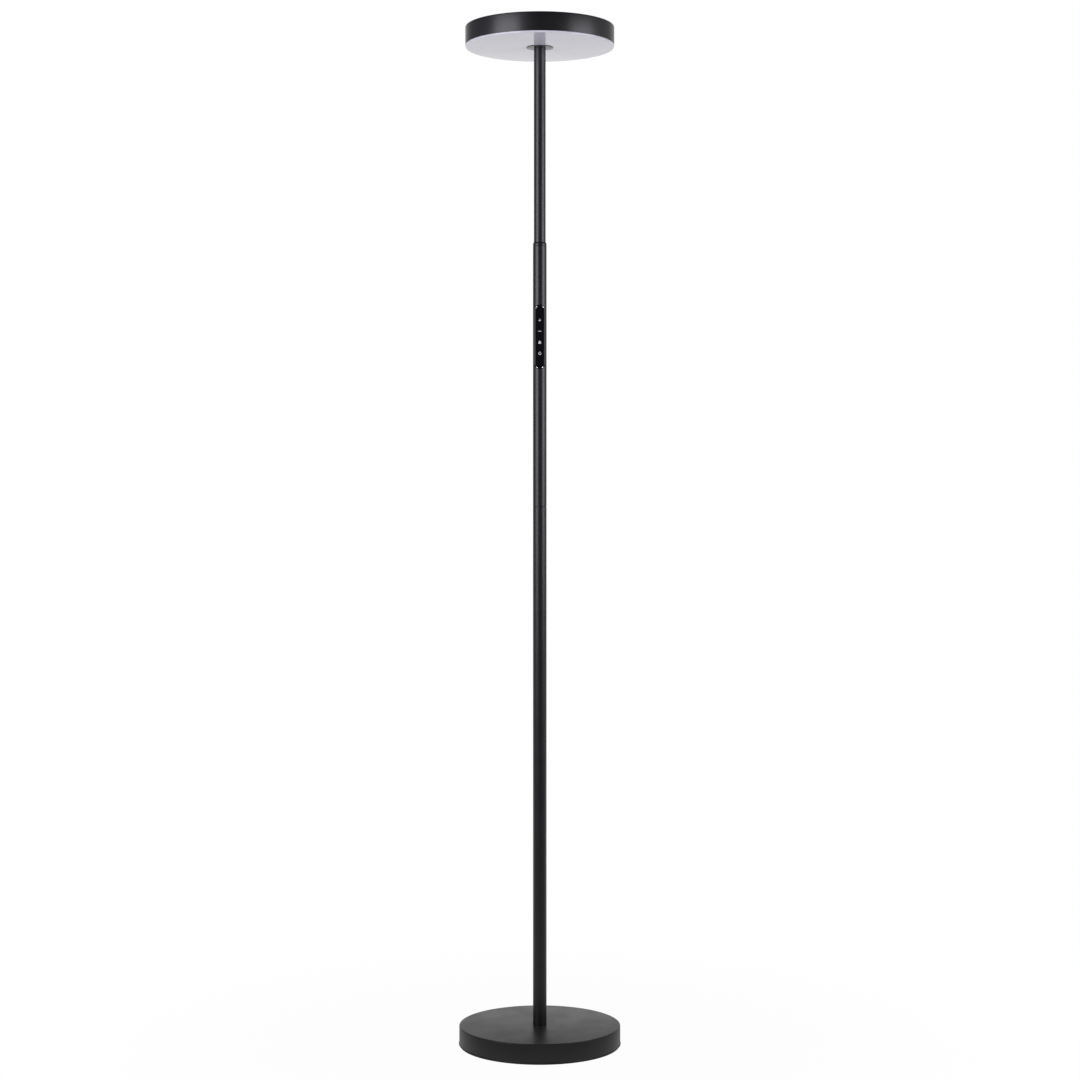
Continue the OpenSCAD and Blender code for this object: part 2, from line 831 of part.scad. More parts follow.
module head_washer() color([0.7, 0.7, 0.72]) {
    ring(washer_r, thread_r + press_gap, carrier_top, carrier_top + washer_t);
}

module head_nut() color([0.75, 0.73, 0.68]) thin_nut(carrier_top + washer_t);

module head_lead() color([0.12, 0.12, 0.12]) {
    translate([0, 0, panel_z + plug_end]) cylinder(r = lead_r, h = nipple_top - panel_z - plug_end);
}

// One wire to the upper board and one through the carrier to the lower board
module head_wires() color([0.7, 0.1, 0.1]) {
    wire_to(connector_x, wire_side, carrier_top + led_board_t + connector_h);
    mirror([1, 0, 0]) wire_to(wire_hole_x, wire_side, lower_wire_z + wire_bend_r);
    translate([-wire_hole_x - wire_bend_r, 0, lower_wire_z + wire_bend_r]) rotate([0, 90, 0])
        quarter_bend(wire_bend_r, wire_r);
    translate([-connector_x + connector_len / 2, 0, lower_wire_z]) rotate([0, 90, 0])
        cylinder(r = wire_r, h = connector_x - connector_len / 2 - wire_hole_x - wire_bend_r);
}

// Wire from the lead's end up, out to a distance x, and down to height z
module wire_to(x, start_x, z) {
    rise = wire_z - wire_bend_r;
    translate([start_x, 0, nipple_top]) cylinder(r = wire_r, h = rise - nipple_top);
    translate([start_x + wire_bend_r, 0, rise]) rotate([0, -90, 0]) quarter_bend(wire_bend_r, wire_r);
    translate([start_x + wire_bend_r, 0, wire_z]) rotate([0, 90, 0])
        cylinder(r = wire_r, h = x - start_x - 2 * wire_bend_r);
    translate([x - wire_bend_r, 0, rise]) quarter_bend(wire_bend_r, wire_r);
    translate([x, 0, z]) cylinder(r = wire_r, h = rise - z);
}

module wire_connectors() color([0.92, 0.92, 0.9]) {
    size = [connector_len, connector_w, connector_h];
    translate([connector_x, 0, carrier_top + led_board_t + connector_h / 2]) cube(size, center = true);
    translate([-connector_x, 0, lower_wire_z]) cube(size, center = true);
}

module head_ring() color([0.16, 0.16, 0.17]) {
    difference() {
        rotate_extrude() ring_outline();
        at_carrier_screws() translate([0, 0, -carrier_t - ledge_h - more])
            cylinder(r = small_screw_r, h = ledge_h + 2 * more);
    }
}

// Half section of the ring: wall, round top edge, in-turned lip and inner ledge
module ring_outline() {
    difference() {
        union() {
            translate([ring_inner_r, ring_bottom]) square([ring_wall, ring_h - ring_edge_r]);
            translate([head_r - lip_w, lip_bottom]) square([lip_w - ring_edge_r, ring_wall]);
            translate([head_r - ring_edge_r, head_top - ring_edge_r]) circle(r = ring_edge_r);
        }
        translate([head_r - 2 * lip_w, lip_bottom - 2 * lip_w])
            square([2 * lip_w - ring_wall, 2 * lip_w]);
    }
    translate([ring_inner_r - ledge_w, ledge_bottom]) square([ledge_w + ring_wall / 2, ledge_h]);
}

module upper_diffuser() color([0.93, 0.93, 0.95]) {
    translate([0, 0, lip_bottom - diffuser_wall]) cylinder(r = skirt_r, h = diffuser_wall);
    ring(skirt_r, skirt_r - diffuser_wall, carrier_top, lip_bottom - diffuser_wall / 2);
}

// ---- Nodes ----

base_cover();
base_weight();
base_plate();
base_pad();
plate_screws();
pole_stud();
stud_top_nut();
stud_washer();
stud_lock_nut();
cord_grommet();
terminal_block();
terminal_screws();
block_screw();
pole_lead();
lower_tube();
lower_foot_bush();
lower_top_bush();
lower_nipple();
middle_tube();
middle_foot_bush();
middle_top_bush();
middle_nipple();
control_tube();
control_foot_bush();
control_top_bush();
control_nipple();
panel_frame();
touch_face();
key_symbols();
touch_springs();
control_board();
touch_chip();
dimmer_transistors();
board_screws();
board_sockets();
lead_plugs();
step_collar();
upper_tube();
upper_foot_bush();
upper_top_bush();
head_nipple();
mount_plate();
lower_diffuser();
head_spacer();
light_carrier();
lower_light_board();
lower_light_chips();
upper_light_board();
upper_light_chips();
light_board_screws();
carrier_screws();
head_washer();
head_nut();
head_lead();
head_wires();
wire_connectors();
head_ring();
upper_diffuser();
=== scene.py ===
# %% [markdown]
# # A black torchiere floor lamp
# The lamp stands on a heavy round base. Three wide tubes screw together to carry a thinner one, and a flat
# round head with a white diffuser below and another above sits on top. A glossy touch panel is let into the
# third tube.
#
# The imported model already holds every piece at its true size. This lesson gives each visible piece a finer
# mesh, gives every piece its finish, and sets up the studio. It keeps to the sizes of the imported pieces.

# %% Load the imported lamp
import json
import math

import bmesh
import bpy
from mathutils import Matrix, Vector


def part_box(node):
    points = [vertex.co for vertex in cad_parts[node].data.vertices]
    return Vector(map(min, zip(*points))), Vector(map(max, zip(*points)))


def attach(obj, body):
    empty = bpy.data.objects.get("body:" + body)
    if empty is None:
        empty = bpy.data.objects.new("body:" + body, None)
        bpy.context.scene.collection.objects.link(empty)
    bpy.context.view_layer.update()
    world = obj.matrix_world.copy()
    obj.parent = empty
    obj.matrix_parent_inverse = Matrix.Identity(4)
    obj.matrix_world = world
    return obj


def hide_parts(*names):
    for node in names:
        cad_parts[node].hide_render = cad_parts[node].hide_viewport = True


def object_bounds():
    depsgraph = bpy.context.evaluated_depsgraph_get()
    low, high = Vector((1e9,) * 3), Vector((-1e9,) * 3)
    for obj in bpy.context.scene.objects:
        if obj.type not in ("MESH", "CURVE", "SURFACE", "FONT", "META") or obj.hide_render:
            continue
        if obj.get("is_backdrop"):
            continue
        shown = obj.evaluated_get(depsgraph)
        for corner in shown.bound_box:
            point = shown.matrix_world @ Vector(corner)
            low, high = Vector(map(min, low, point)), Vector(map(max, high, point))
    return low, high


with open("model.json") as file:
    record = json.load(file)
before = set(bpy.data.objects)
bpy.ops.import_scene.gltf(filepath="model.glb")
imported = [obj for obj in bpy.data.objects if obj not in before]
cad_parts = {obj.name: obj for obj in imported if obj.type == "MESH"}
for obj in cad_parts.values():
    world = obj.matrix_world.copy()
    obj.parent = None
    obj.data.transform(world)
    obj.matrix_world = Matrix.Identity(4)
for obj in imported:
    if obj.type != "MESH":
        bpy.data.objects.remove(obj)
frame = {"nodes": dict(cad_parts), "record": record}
cad_low, cad_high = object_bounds()
record = frame["record"]
body_of = {node: body for body, nodes in record["behaviour"]["bodies"].items() for node in nodes}
slot_of = {part["node"]: part["material_slot"] for part in record["subparts"]}

# %% [markdown]
# Sizes are in metres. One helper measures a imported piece, so that a finer piece is always made where the
# packed one is. The lamp's pole stands on the Z axis, so the largest X of a round piece is its radius.
# Another helper puts a new object in the scene.

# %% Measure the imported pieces
MM = 0.001


def measured(node):
    """Radius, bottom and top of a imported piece."""
    low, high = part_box(node)
    return high.x, low.z, high.z


def add_object(name, data):
    thing = bpy.data.objects.new(name, data)
    bpy.context.collection.objects.link(thing)
    return thing


print("base radius", round(measured("base_cover")[0], 4), "head radius", round(measured("head_ring")[0], 4))

# %% [markdown]
# ## The camera
# A tall thin object looks best from far away through a long lens. The camera stands at about the height of
# the lamp's middle. It is tipped down by less than a degree, and its sensor is shifted very little, so the
# pole stays upright and the whole lamp is in the frame.

# %% Set the camera
CAMERA_DISTANCE = 3.5568
CAMERA_HEIGHT = 0.90385
CAMERA_TIP = 0.8745
LENS = 73.334
SENSOR_WIDTH = 36
SENSOR_SHIFT = (0.0002, -0.018)

camera_data = bpy.data.cameras.new("camera")
camera_data.sensor_width = SENSOR_WIDTH
camera_data.lens = LENS
camera_data.shift_x, camera_data.shift_y = SENSOR_SHIFT
camera = add_object("camera", camera_data)
camera.location = (0, -CAMERA_DISTANCE, CAMERA_HEIGHT)
camera.rotation_euler = (math.radians(90 - CAMERA_TIP), 0, 0)
bpy.context.scene.camera = camera
bpy.context.scene.view_settings.view_transform = "Standard"
print("camera", CAMERA_DISTANCE, "m away at", CAMERA_HEIGHT, "m")

# %% [markdown]
# ## Small tools for node trees
# Shader trees and geometry trees are wired in the same way: add a node, set its values, link its sockets.
# These helpers keep that to one line a node. An input is given by its name, and its value is either a plain
# value or another node's output, which is then linked.


# %% Wire nodes
def wire(tree, socket, value):
    if isinstance(value, bpy.types.NodeSocket):
        tree.links.new(value, socket)
    else:
        socket.default_value = value


def add_node(tree, kind, settings=None, **inputs):
    """Adds a node. Settings are its own properties, and inputs are sockets with _ in place of each space."""
    node = tree.nodes.new(kind)
    for name, value in (settings or {}).items():
        setattr(node, name, value)
    for name, value in inputs.items():
        wire(tree, node.inputs[name.replace("_", " ")], value)
    return node


def output_of(tree, kind, settings=None, **inputs):
    """Adds a node and returns its first output."""
    return add_node(tree, kind, settings, **inputs).outputs[0]


def parts_of(tree, vector):
    return add_node(tree, "ShaderNodeSeparateXYZ", Vector=vector).outputs


def math_node(tree, operation, *values):
    node = add_node(tree, "ShaderNodeMath", {"operation": operation})
    for socket, value in zip(node.inputs, values):
        wire(tree, socket, value)
    return node.outputs[0]


def map_range(tree, value, ends, to=(0.0, 1.0), smooth=True):
    kind = {"interpolation_type": "SMOOTHSTEP" if smooth else "LINEAR"}
    ends = {"From_Min": ends[0], "From_Max": ends[1], "To_Min": to[0], "To_Max": to[1]}
    return output_of(tree, "ShaderNodeMapRange", kind, Value=value, **ends)


def mix_colours(tree, factor, first, second):
    node = add_node(tree, "ShaderNodeMix", {"data_type": "RGBA"})
    for socket, value in ((0, factor), (6, first), (7, second)):
        wire(tree, node.inputs[socket], value)
    return node.outputs[2]


def grey(level):
    return (level, level, level, 1)


WHITE = grey(1)
print("node tools ready")

# %% [markdown]
# ## The studio
# The backdrop is white to the camera, and to glossy and clear surfaces, so that satin paint picks it up along
# its edges. Where it starts depends only on a ray's heading, because a real backdrop is a tall roll of paper.
# The side walls are grey, and a little lighter low down. The part of the room behind the camera and the
# ceiling are unlit, which keeps the middle of the pole black. Soft light from all sides is a separate value,
# so the lamp isn't washed out.

# %% Light the room
AMBIENT = 0.32
DARK_ROOM = (0.06, 0.057, 0.075, 1)
LEFT_WALL = (0.22, 0.21, 0.24, 1)
RIGHT_WALL = (0.33, 0.33, 0.34, 1)
LOW_WALL = (0.46, 0.46, 0.48, 1)
# Each range is where one part of the room turns into the next: of the heading's X and Y, or of the steepness.
LEFT_TO_RIGHT = (-0.3, 0.3)
DARK_TO_WALL = (-0.35, 0.25)
WALL_TO_BACKDROP = (0.72, 0.97)
FLOOR_TO_WALL = (-0.12, 0.02)
WALL_TO_CEILING = (0.12, 0.70)


def light_paths(tree):
    """What kind of ray asks for a colour: (camera, mirrored or clear)."""
    path = add_node(tree, "ShaderNodeLightPath").outputs
    mirrored = math_node(tree, "MAXIMUM", path["Is Glossy Ray"], path["Is Transmission Ray"])
    return path["Is Camera Ray"], mirrored


world = bpy.data.worlds.new("studio")
world.use_nodes = True
bpy.context.scene.world = world
room = world.node_tree
room.nodes.clear()
direction = add_node(room, "ShaderNodeTexCoord").outputs["Generated"]
level = add_node(room, "ShaderNodeVectorMath", {"operation": "MULTIPLY"}, Vector=direction)
level.inputs[1].default_value = (1, 1, 0)
heading = output_of(room, "ShaderNodeVectorMath", {"operation": "NORMALIZE"}, Vector=level.outputs[0])
heading_parts = parts_of(room, heading)
steepness = parts_of(room, direction)["Z"]
to_right = map_range(room, heading_parts["X"], LEFT_TO_RIGHT, smooth=False)
wall_colour = mix_colours(room, to_right, LEFT_WALL, RIGHT_WALL)
near_floor = map_range(room, steepness, FLOOR_TO_WALL, (1.0, 0.0))
low_wall = mix_colours(room, near_floor, wall_colour, LOW_WALL)
wall_share = map_range(room, heading_parts["Y"], DARK_TO_WALL)
backdrop_share = map_range(room, heading_parts["Y"], WALL_TO_BACKDROP)
below_ceiling = map_range(room, steepness, WALL_TO_CEILING, (1.0, 0.0))
camera_ray, mirror_ray = light_paths(room)
walls = mix_colours(room, wall_share, DARK_ROOM, low_wall)
with_backdrop = mix_colours(room, backdrop_share, walls, WHITE)
in_mirror = mix_colours(room, below_ceiling, DARK_ROOM, with_backdrop)
ambient = mix_colours(room, mirror_ray, grey(AMBIENT), in_mirror)
seen = mix_colours(room, camera_ray, ambient, WHITE)
backdrop = output_of(room, "ShaderNodeBackground", Color=seen, Strength=1.0)
add_node(room, "ShaderNodeOutputWorld", Surface=backdrop)
print("room: ambient", AMBIENT, "dark side", DARK_ROOM[:3])

# %% [markdown]
# The floor is a pale disc. To the camera it is almost the backdrop's white, with just enough of the real
# surface left to keep a soft shadow round the base, and it turns fully white towards its rim, where it meets
# the backdrop without an edge. A mirror sees white floor towards the backdrop, behind the lamp, and a paler
# ring close round the base. The floor further in front is grey to a mirror, so the foot of the pole stays
# dark.

# %% Lay the floor
FLOOR_RADIUS = 2.5
FLOOR_DROP = 0.2 * MM
FLOOR_SIDES = 96
PALE_FLOOR = grey(0.8)
MIRRORED_FLOOR = grey(0.32)
# A share of white, over a range of distances from the middle or of places along Y.
SEEN_SHARE, SEEN_RANGE = 0.97, (0.3, 0.9)
RING_SHARE, RING_RANGE = 0.55, (0.2, 0.3)
FAR_RANGE = (-0.9, 0.8 * FLOOR_RADIUS)

floor_mesh = bpy.data.meshes.new("floor")
floor_shape = bmesh.new()
bmesh.ops.create_circle(floor_shape, cap_ends=True, segments=FLOOR_SIDES, radius=FLOOR_RADIUS)
bmesh.ops.translate(floor_shape, verts=floor_shape.verts, vec=(0, 0, cad_low.z - FLOOR_DROP))
floor_shape.to_mesh(floor_mesh)
floor_shape.free()
floor = add_object("floor", floor_mesh)

floor_finish = bpy.data.materials.new("floor")
floor_finish.use_nodes = True
ground = floor_finish.node_tree
ground.nodes.clear()
place = add_node(ground, "ShaderNodeTexCoord").outputs["Object"]
away = add_node(ground, "ShaderNodeVectorMath", {"operation": "LENGTH"}, Vector=place).outputs["Value"]
camera_ray, mirror_ray = light_paths(ground)
behind = parts_of(ground, place)["Y"]
camera_share = map_range(ground, away, SEEN_RANGE, (SEEN_SHARE, 1.0))
far_share = map_range(ground, behind, FAR_RANGE)
near_share = map_range(ground, away, RING_RANGE, (RING_SHARE, 0.0))
mirror_share = math_node(ground, "MAXIMUM", far_share, near_share)
to_camera = math_node(ground, "MULTIPLY", camera_ray, camera_share)
to_mirror = math_node(ground, "MULTIPLY", mirror_ray, mirror_share)
white_share = math_node(ground, "MAXIMUM", to_camera, to_mirror)
floor_colour = mix_colours(ground, mirror_ray, PALE_FLOOR, MIRRORED_FLOOR)
pale = output_of(ground, "ShaderNodeBsdfDiffuse", Color=floor_colour)
white = output_of(ground, "ShaderNodeEmission", Color=WHITE, Strength=1.0)
floor_mix = add_node(ground, "ShaderNodeMixShader")
for socket, value in zip(floor_mix.inputs, (white_share, pale, white)):
    wire(ground, socket, value)
add_node(ground, "ShaderNodeOutputMaterial", Surface=floor_mix.outputs[0])
floor_mesh.materials.append(floor_finish)
floor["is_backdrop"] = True
print("floor radius", FLOOR_RADIUS)

# %% [markdown]
# Two large soft boxes stand in front, one at each side. On a round satin pole each one becomes a long soft
# streak, and on the head's ring a broad one. They hang high, so the streaks fade towards the floor.
# A lamp's azimuth is in degrees to the right of the camera.

# %% Hang the soft boxes
BOX_RADIANCE = 2.95
BOX_LIGHT = (0.985, 0.97, 1.045)
BOX_DISTANCE = 1.8
SOFT_BOXES = {
    "left_box": {"azimuth": -50.5, "low": 0.70, "high": 2.2, "width": 1.3},
    "right_box": {"azimuth": 66, "low": 0.75, "high": 1.97, "width": 1.25},
}


def area_lamp(name, shape, size):
    """Lamp that the camera doesn't see. Returns its object and its data."""
    lamp = bpy.data.lights.new(name, "AREA")
    lamp.shape = shape
    lamp.size = size
    held = add_object(name, lamp)
    held.visible_camera = False
    return held, lamp


def soft_box(name, azimuth, low, high, width):
    """Upright rectangular lamp that faces the pole."""
    held, lamp = area_lamp(name, "RECTANGLE", width)
    lamp.size_y = high - low
    lamp.energy = BOX_RADIANCE * math.pi * lamp.size * lamp.size_y
    lamp.color = BOX_LIGHT
    turn = math.radians(azimuth)
    held.location = (BOX_DISTANCE * math.sin(turn), -BOX_DISTANCE * math.cos(turn), (low + high) / 2)
    held.rotation_euler = (math.radians(90), 0, turn)


for name, sizes in SOFT_BOXES.items():
    soft_box(name, **sizes)
print("hung", ", ".join(SOFT_BOXES))

# %% [markdown]
# ## Surface effects
# Several finishes share an effect: a fine grain with larger, fainter patches, or the fine rings that a lathe
# leaves. Each effect is a node group, built once and placed in each finish with its own sizes. A group only
# puts out values that change over the surface, and the shader itself stays in the finish.

# %% Build the shared effects
NOISE_SPREAD = (0.3, 0.7)
TURNING_STRETCH = 2.5


def add_sockets(group, way, sockets):
    for label, kind in sockets.items():
        group.interface.new_socket(label, in_out=way, socket_type="NodeSocket" + kind)


def new_group(name, inputs, outputs):
    group = bpy.data.node_groups.new(name, "ShaderNodeTree")
    add_sockets(group, "INPUT", inputs)
    add_sockets(group, "OUTPUT", outputs)
    return group, group.nodes.new("NodeGroupInput").outputs, group.nodes.new("NodeGroupOutput").inputs


def noise(tree, vector, scale, detail=2.0):
    return output_of(tree, "ShaderNodeTexNoise", Vector=vector, Scale=scale, Detail=detail)


def make_grain_group():
    """Fine grain and larger patches, both from 0 to 1 with 0.5 as their middle."""
    sizes = {"Vector": "Vector", "Grain size": "Float", "Patch size": "Float"}
    group, given, result = new_group("grain", sizes, {"Grain": "Float", "Patches": "Float"})
    fine = noise(group, given["Vector"], math_node(group, "DIVIDE", 1.0, given["Grain size"]))
    broad = noise(group, given["Vector"], math_node(group, "DIVIDE", 1.0, given["Patch size"]), detail=3.0)
    wire(group, result["Grain"], map_range(group, fine, NOISE_SPREAD, smooth=False))
    wire(group, result["Patches"], map_range(group, broad, NOISE_SPREAD))
    return group


def make_turning_group():
    """Fine lines round the Z axis, as a lathe leaves them, broken up along their length."""
    sizes = {"Vector": "Vector", "Line spacing": "Float"}
    group, given, result = new_group("turning_lines", sizes, {"Lines": "Float"})
    parts = parts_of(group, given["Vector"])
    across = math_node(group, "POWER", parts["X"], 2.0)
    along = math_node(group, "POWER", parts["Y"], 2.0)
    reach = math_node(group, "SQRT", math_node(group, "ADD", across, along))
    angle = math_node(group, "ARCTAN2", parts["Y"], parts["X"])
    fine = math_node(group, "DIVIDE", 1.0, given["Line spacing"])
    drawn = output_of(
        group,
        "ShaderNodeCombineXYZ",
        X=math_node(group, "MULTIPLY", reach, fine),
        Y=math_node(group, "MULTIPLY", parts["Z"], fine),
        Z=math_node(group, "MULTIPLY", angle, TURNING_STRETCH),
    )
    lines = noise(group, drawn, 1.0, detail=3.0)
    wire(group, result["Lines"], map_range(group, lines, NOISE_SPREAD, smooth=False))
    return group


grain_group = make_grain_group()
turning_group = make_turning_group()
print("effects:", grain_group.name, turning_group.name)

# %% [markdown]
# ## Finishes
# Every finish starts from one function: a colour that drifts a little in large patches, a roughness that the
# grain breaks up, and a shallow bump at the size of the grain. Patterns read Object coordinates, and every
# piece sits at the origin, so the grain has the same scale everywhere. Values that don't change over the
# surface are set on the shader's own sockets.

# %% Make a finish
finishes = {}


def shade(colour, factor):
    return tuple(min(1.0, part * factor) for part in colour) + (1.0,)


def grained(slot, colour, roughness, grain, patch, bump, drift=0.12, uneven=0.06, **plain):
    """A finish with a grain and patches of those sizes, and a bump of that depth, all in mm. Drift is how far
    the colour wanders, uneven how far the roughness does, and plain holds other sockets of the shader."""
    finish = finishes[slot] = bpy.data.materials.new(slot)
    finish.use_nodes = True
    tree = finish.node_tree
    tree.nodes.clear()
    shader = tree.nodes.new("ShaderNodeBsdfPrincipled")
    add_node(tree, "ShaderNodeOutputMaterial", Surface=shader.outputs[0])
    place = add_node(tree, "ShaderNodeTexCoord").outputs["Object"]
    sizes = {"Grain_size": grain * MM, "Patch_size": patch * MM}
    effect = add_node(tree, "ShaderNodeGroup", {"node_tree": grain_group}, Vector=place, **sizes).outputs
    mixed = mix_colours(tree, effect["Patches"], shade(colour, 1 - drift), shade(colour, 1 + drift))
    wire(tree, shader.inputs["Base Color"], mixed)
    both = math_node(tree, "ADD", effect["Grain"], effect["Patches"])
    rough = map_range(tree, both, (0, 2), (roughness - uneven, roughness + uneven), smooth=False)
    wire(tree, shader.inputs["Roughness"], rough)
    raised = output_of(tree, "ShaderNodeBump", Height=effect["Grain"], Distance=bump * MM, Strength=1.0)
    wire(tree, shader.inputs["Normal"], raised)
    for name, value in plain.items():
        shader.inputs[name.replace("_", " ")].default_value = value


def make_finishes(table, **shared):
    """Makes every finish of a table: colour, roughness, grain, patch, bump and what else is its own."""
    for slot, (*values, own) in table.items():
        grained(slot, *values, **shared, **own)
    print("finishes:", ", ".join(table))


def parts_of_finish(slot):
    """A finish's node tree and its shader, for what one finish has beyond the rest."""
    tree = finishes[slot].node_tree
    return tree, tree.nodes["Principled BSDF"]


print("finishes are made from the group", grain_group.name)

# %% [markdown]
# The paints come first, because the camera sees little else. All are black satin powder paint. The base has
# the coarsest grain and the dullest surface. The pole and the ring are smoother and shinier, and the ring
# shows the lathe's lines through its paint.

# %% Paint finishes
BLACK = (0.0080, 0.0078, 0.0090)
DULL = {"Specular_IOR_Level": 0.42}
POLE_SHINE = {"uneven": 0.02, "Specular_IOR_Level": 0.8}
RING_SHINE = {"uneven": 0.03, "Specular_IOR_Level": 0.78}
TURNING_SPACING = 0.6 * MM
TURNING_DEPTH = 0.01 * MM

make_finishes({
    "base_paint": ((0.0118, 0.0116, 0.0124), 0.38, 0.5, 40, 0.006, {"uneven": 0.05, **DULL}),
    "pole_paint": (BLACK, 0.36, 0.3, 30, 0.001, POLE_SHINE),
    "mount_metal": ((0.045, 0.045, 0.047), 0.28, 0.3, 10, 0.002, DULL),
    "ring_paint": (BLACK, 0.34, 0.3, 25, 0.001, RING_SHINE),
})
ring_tree, ring_shader = parts_of_finish("ring_paint")
ring_place = add_node(ring_tree, "ShaderNodeTexCoord").outputs["Object"]
spacing = {"Line_spacing": TURNING_SPACING}
turning = add_node(ring_tree, "ShaderNodeGroup", {"node_tree": turning_group}, Vector=ring_place, **spacing)
turned_bump = output_of(ring_tree, "ShaderNodeBump", Height=turning.outputs["Lines"], Distance=TURNING_DEPTH)
wire(ring_tree, ring_shader.inputs["Normal"], turned_bump)

# %% [markdown]
# The touch panel is polished black plastic with very little texture, and the printed symbols are matt. The
# diffusers are opal acrylic, white all through and glossy on top.

# %% Gloss and acrylic finishes
OPAL = {"drift": 0.015, "uneven": 0.02, "Subsurface_Weight": 0.15, "Subsurface_Scale": 4 * MM}

make_finishes({
    "panel_plastic": ((0.005, 0.005, 0.006), 0.12, 0.2, 6, 0.0, {"uneven": 0.04}),
    "touch_gloss": ((0.003, 0.003, 0.004), 0.08, 0.2, 9, 0.0, {"uneven": 0.03}),
    "symbol_ink": ((0.67, 0.67, 0.70), 0.5, 0.15, 2, 0.004, {"drift": 0.05}),
    "opal_acrylic": ((0.77, 0.764, 0.845), 0.10, 0.4, 60, 0.0, OPAL),
})

# %% [markdown]
# The pieces inside are seen only when the lamp is taken apart. They still have their own finishes: cast iron
# with a coarse skin, zinc and brass with fine grain, rubber, foam, nylon, and the boards.

# %% Inner finishes
make_finishes({
    "cast_weight": ((0.11, 0.11, 0.115), 0.62, 1.2, 12, 0.12, {}),
    "bottom_steel": ((0.16, 0.16, 0.165), 0.45, 0.4, 25, 0.006, {}),
    "screw_steel": ((0.58, 0.58, 0.60), 0.30, 0.2, 3, 0.003, {}),
    "thread_steel": ((0.60, 0.55, 0.43), 0.34, 0.3, 6, 0.004, {}),
    "spring_steel": ((0.62, 0.62, 0.63), 0.22, 0.2, 2, 0.002, {}),
    "terminal_brass": ((0.70, 0.52, 0.22), 0.28, 0.2, 3, 0.003, {}),
    "carrier_metal": ((0.72, 0.72, 0.74), 0.38, 0.3, 30, 0.004, {}),
}, Metallic=1.0)
make_finishes({
    "pad_foam": ((0.012, 0.012, 0.012), 0.95, 0.35, 8, 0.12, {}),
    "grommet_rubber": ((0.011, 0.011, 0.011), 0.62, 0.25, 4, 0.01, {}),
    "lead_sheath": ((0.014, 0.014, 0.014), 0.50, 0.3, 6, 0.01, {}),
    "wire_sheath": ((0.42, 0.025, 0.02), 0.42, 0.2, 5, 0.006, {}),
    "terminal_plastic": ((0.62, 0.60, 0.53), 0.46, 0.25, 5, 0.01, {}),
    "connector_nylon": ((0.70, 0.68, 0.60), 0.44, 0.25, 4, 0.008, {}),
    "board_green": ((0.008, 0.10, 0.035), 0.34, 0.5, 3, 0.012, {}),
    "chip_black": ((0.014, 0.014, 0.015), 0.58, 0.15, 2, 0.008, {}),
    "light_board_white": ((0.78, 0.78, 0.79), 0.40, 0.3, 12, 0.006, {}),
    "light_chip": ((0.80, 0.79, 0.75), 0.42, 0.1, 1, 0.003, {}),
})

# %% [markdown]
# A light chip is a white package with a yellow window of phosphor. The chip's mesh marks the window with an
# attribute, and the finish reads it to choose between the two colours.

# %% Light chip finish
WINDOW = "phosphor"
PHOSPHOR = (0.78, 0.52, 0.05, 1)

chip_tree, chip_shader = parts_of_finish("light_chip")
window_mask = add_node(chip_tree, "ShaderNodeAttribute", {"attribute_name": WINDOW}).outputs["Fac"]
package_colour = chip_shader.inputs["Base Color"].links[0].from_socket
chip_colour = mix_colours(chip_tree, window_mask, package_colour, PHOSPHOR)
wire(chip_tree, chip_shader.inputs["Base Color"], chip_colour)
print("finishes in all:", len(finishes))

# %% [markdown]
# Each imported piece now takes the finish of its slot. A piece that is made again below takes it from there.

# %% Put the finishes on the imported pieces
def cover_with(thing, slot):
    thing.data.materials.clear()
    thing.data.materials.append(finishes[slot])


for node, thing in frame["nodes"].items():
    cover_with(thing, slot_of[node])
print("finished", len(frame["nodes"]), "packed pieces")

# %% [markdown]
# ## Making solid pieces
# Most pieces of a lamp are turned, so the main tool is a lathe: a closed half section goes round the pole's
# axis. Real edges are never perfectly sharp. A corner of the section can have a radius, and the little arc it
# gives is what catches the light along a rim. The finished mesh is closed, and its faces point outwards.

# %% Round the corners of an outline
ARC_STEP = math.radians(15)


def unit(angle):
    return Vector((math.cos(angle), math.sin(angle)))


def arc_points(before, corner, after, radius):
    """Points of the arc that takes the place of a corner between two straight lines."""
    back = (before - corner).normalized()
    ahead = (after - corner).normalized()
    half = back.angle(ahead) / 2
    centre = corner + (back + ahead).normalized() * radius / math.sin(half)
    start = corner + back * radius / math.tan(half) - centre
    end = corner + ahead * radius / math.tan(half) - centre
    first = math.atan2(start.y, start.x)
    turn = math.atan2(start.x * end.y - start.y * end.x, start.dot(end))
    steps = max(2, math.ceil(abs(turn) / ARC_STEP))
    return [centre + radius * unit(first + turn * step / steps) for step in range(steps + 1)]


def rounded(corners):
    """Closed outline through corners that are (x, y), or (x, y, radius) where one is rounded."""
    points = []
    for i, corner in enumerate(corners):
        here = Vector(corner[:2])
        if len(corner) == 2:
            points.append(here)
            continue
        before = Vector(corners[i - 1][:2])
        after = Vector(corners[(i + 1) % len(corners)][:2])
        points += arc_points(before, here, after, corner[2])
    return points


print("a rounded square has", len(rounded([(0, 0, 1), (9, 0, 1), (9, 9, 1), (0, 9, 1)])), "points")

# %% Close a mesh and shade it
SHARP_ANGLE = math.radians(24)
SAME_POINT = 0.0005 * MM
SIDES = 256
WIDE_SIDES = 320


def shade_by_angle(mesh):
    mesh.shade_smooth()
    mesh.set_sharp_from_angle(angle=SHARP_ANGLE)


def tidy(mesh):
    """Merges doubled points, turns all faces outwards and shades the mesh."""
    shape = bmesh.new()
    shape.from_mesh(mesh)
    bmesh.ops.remove_doubles(shape, verts=shape.verts, dist=SAME_POINT)
    bmesh.ops.recalc_face_normals(shape, faces=shape.faces)
    shape.to_mesh(mesh)
    shape.free()
    shade_by_angle(mesh)


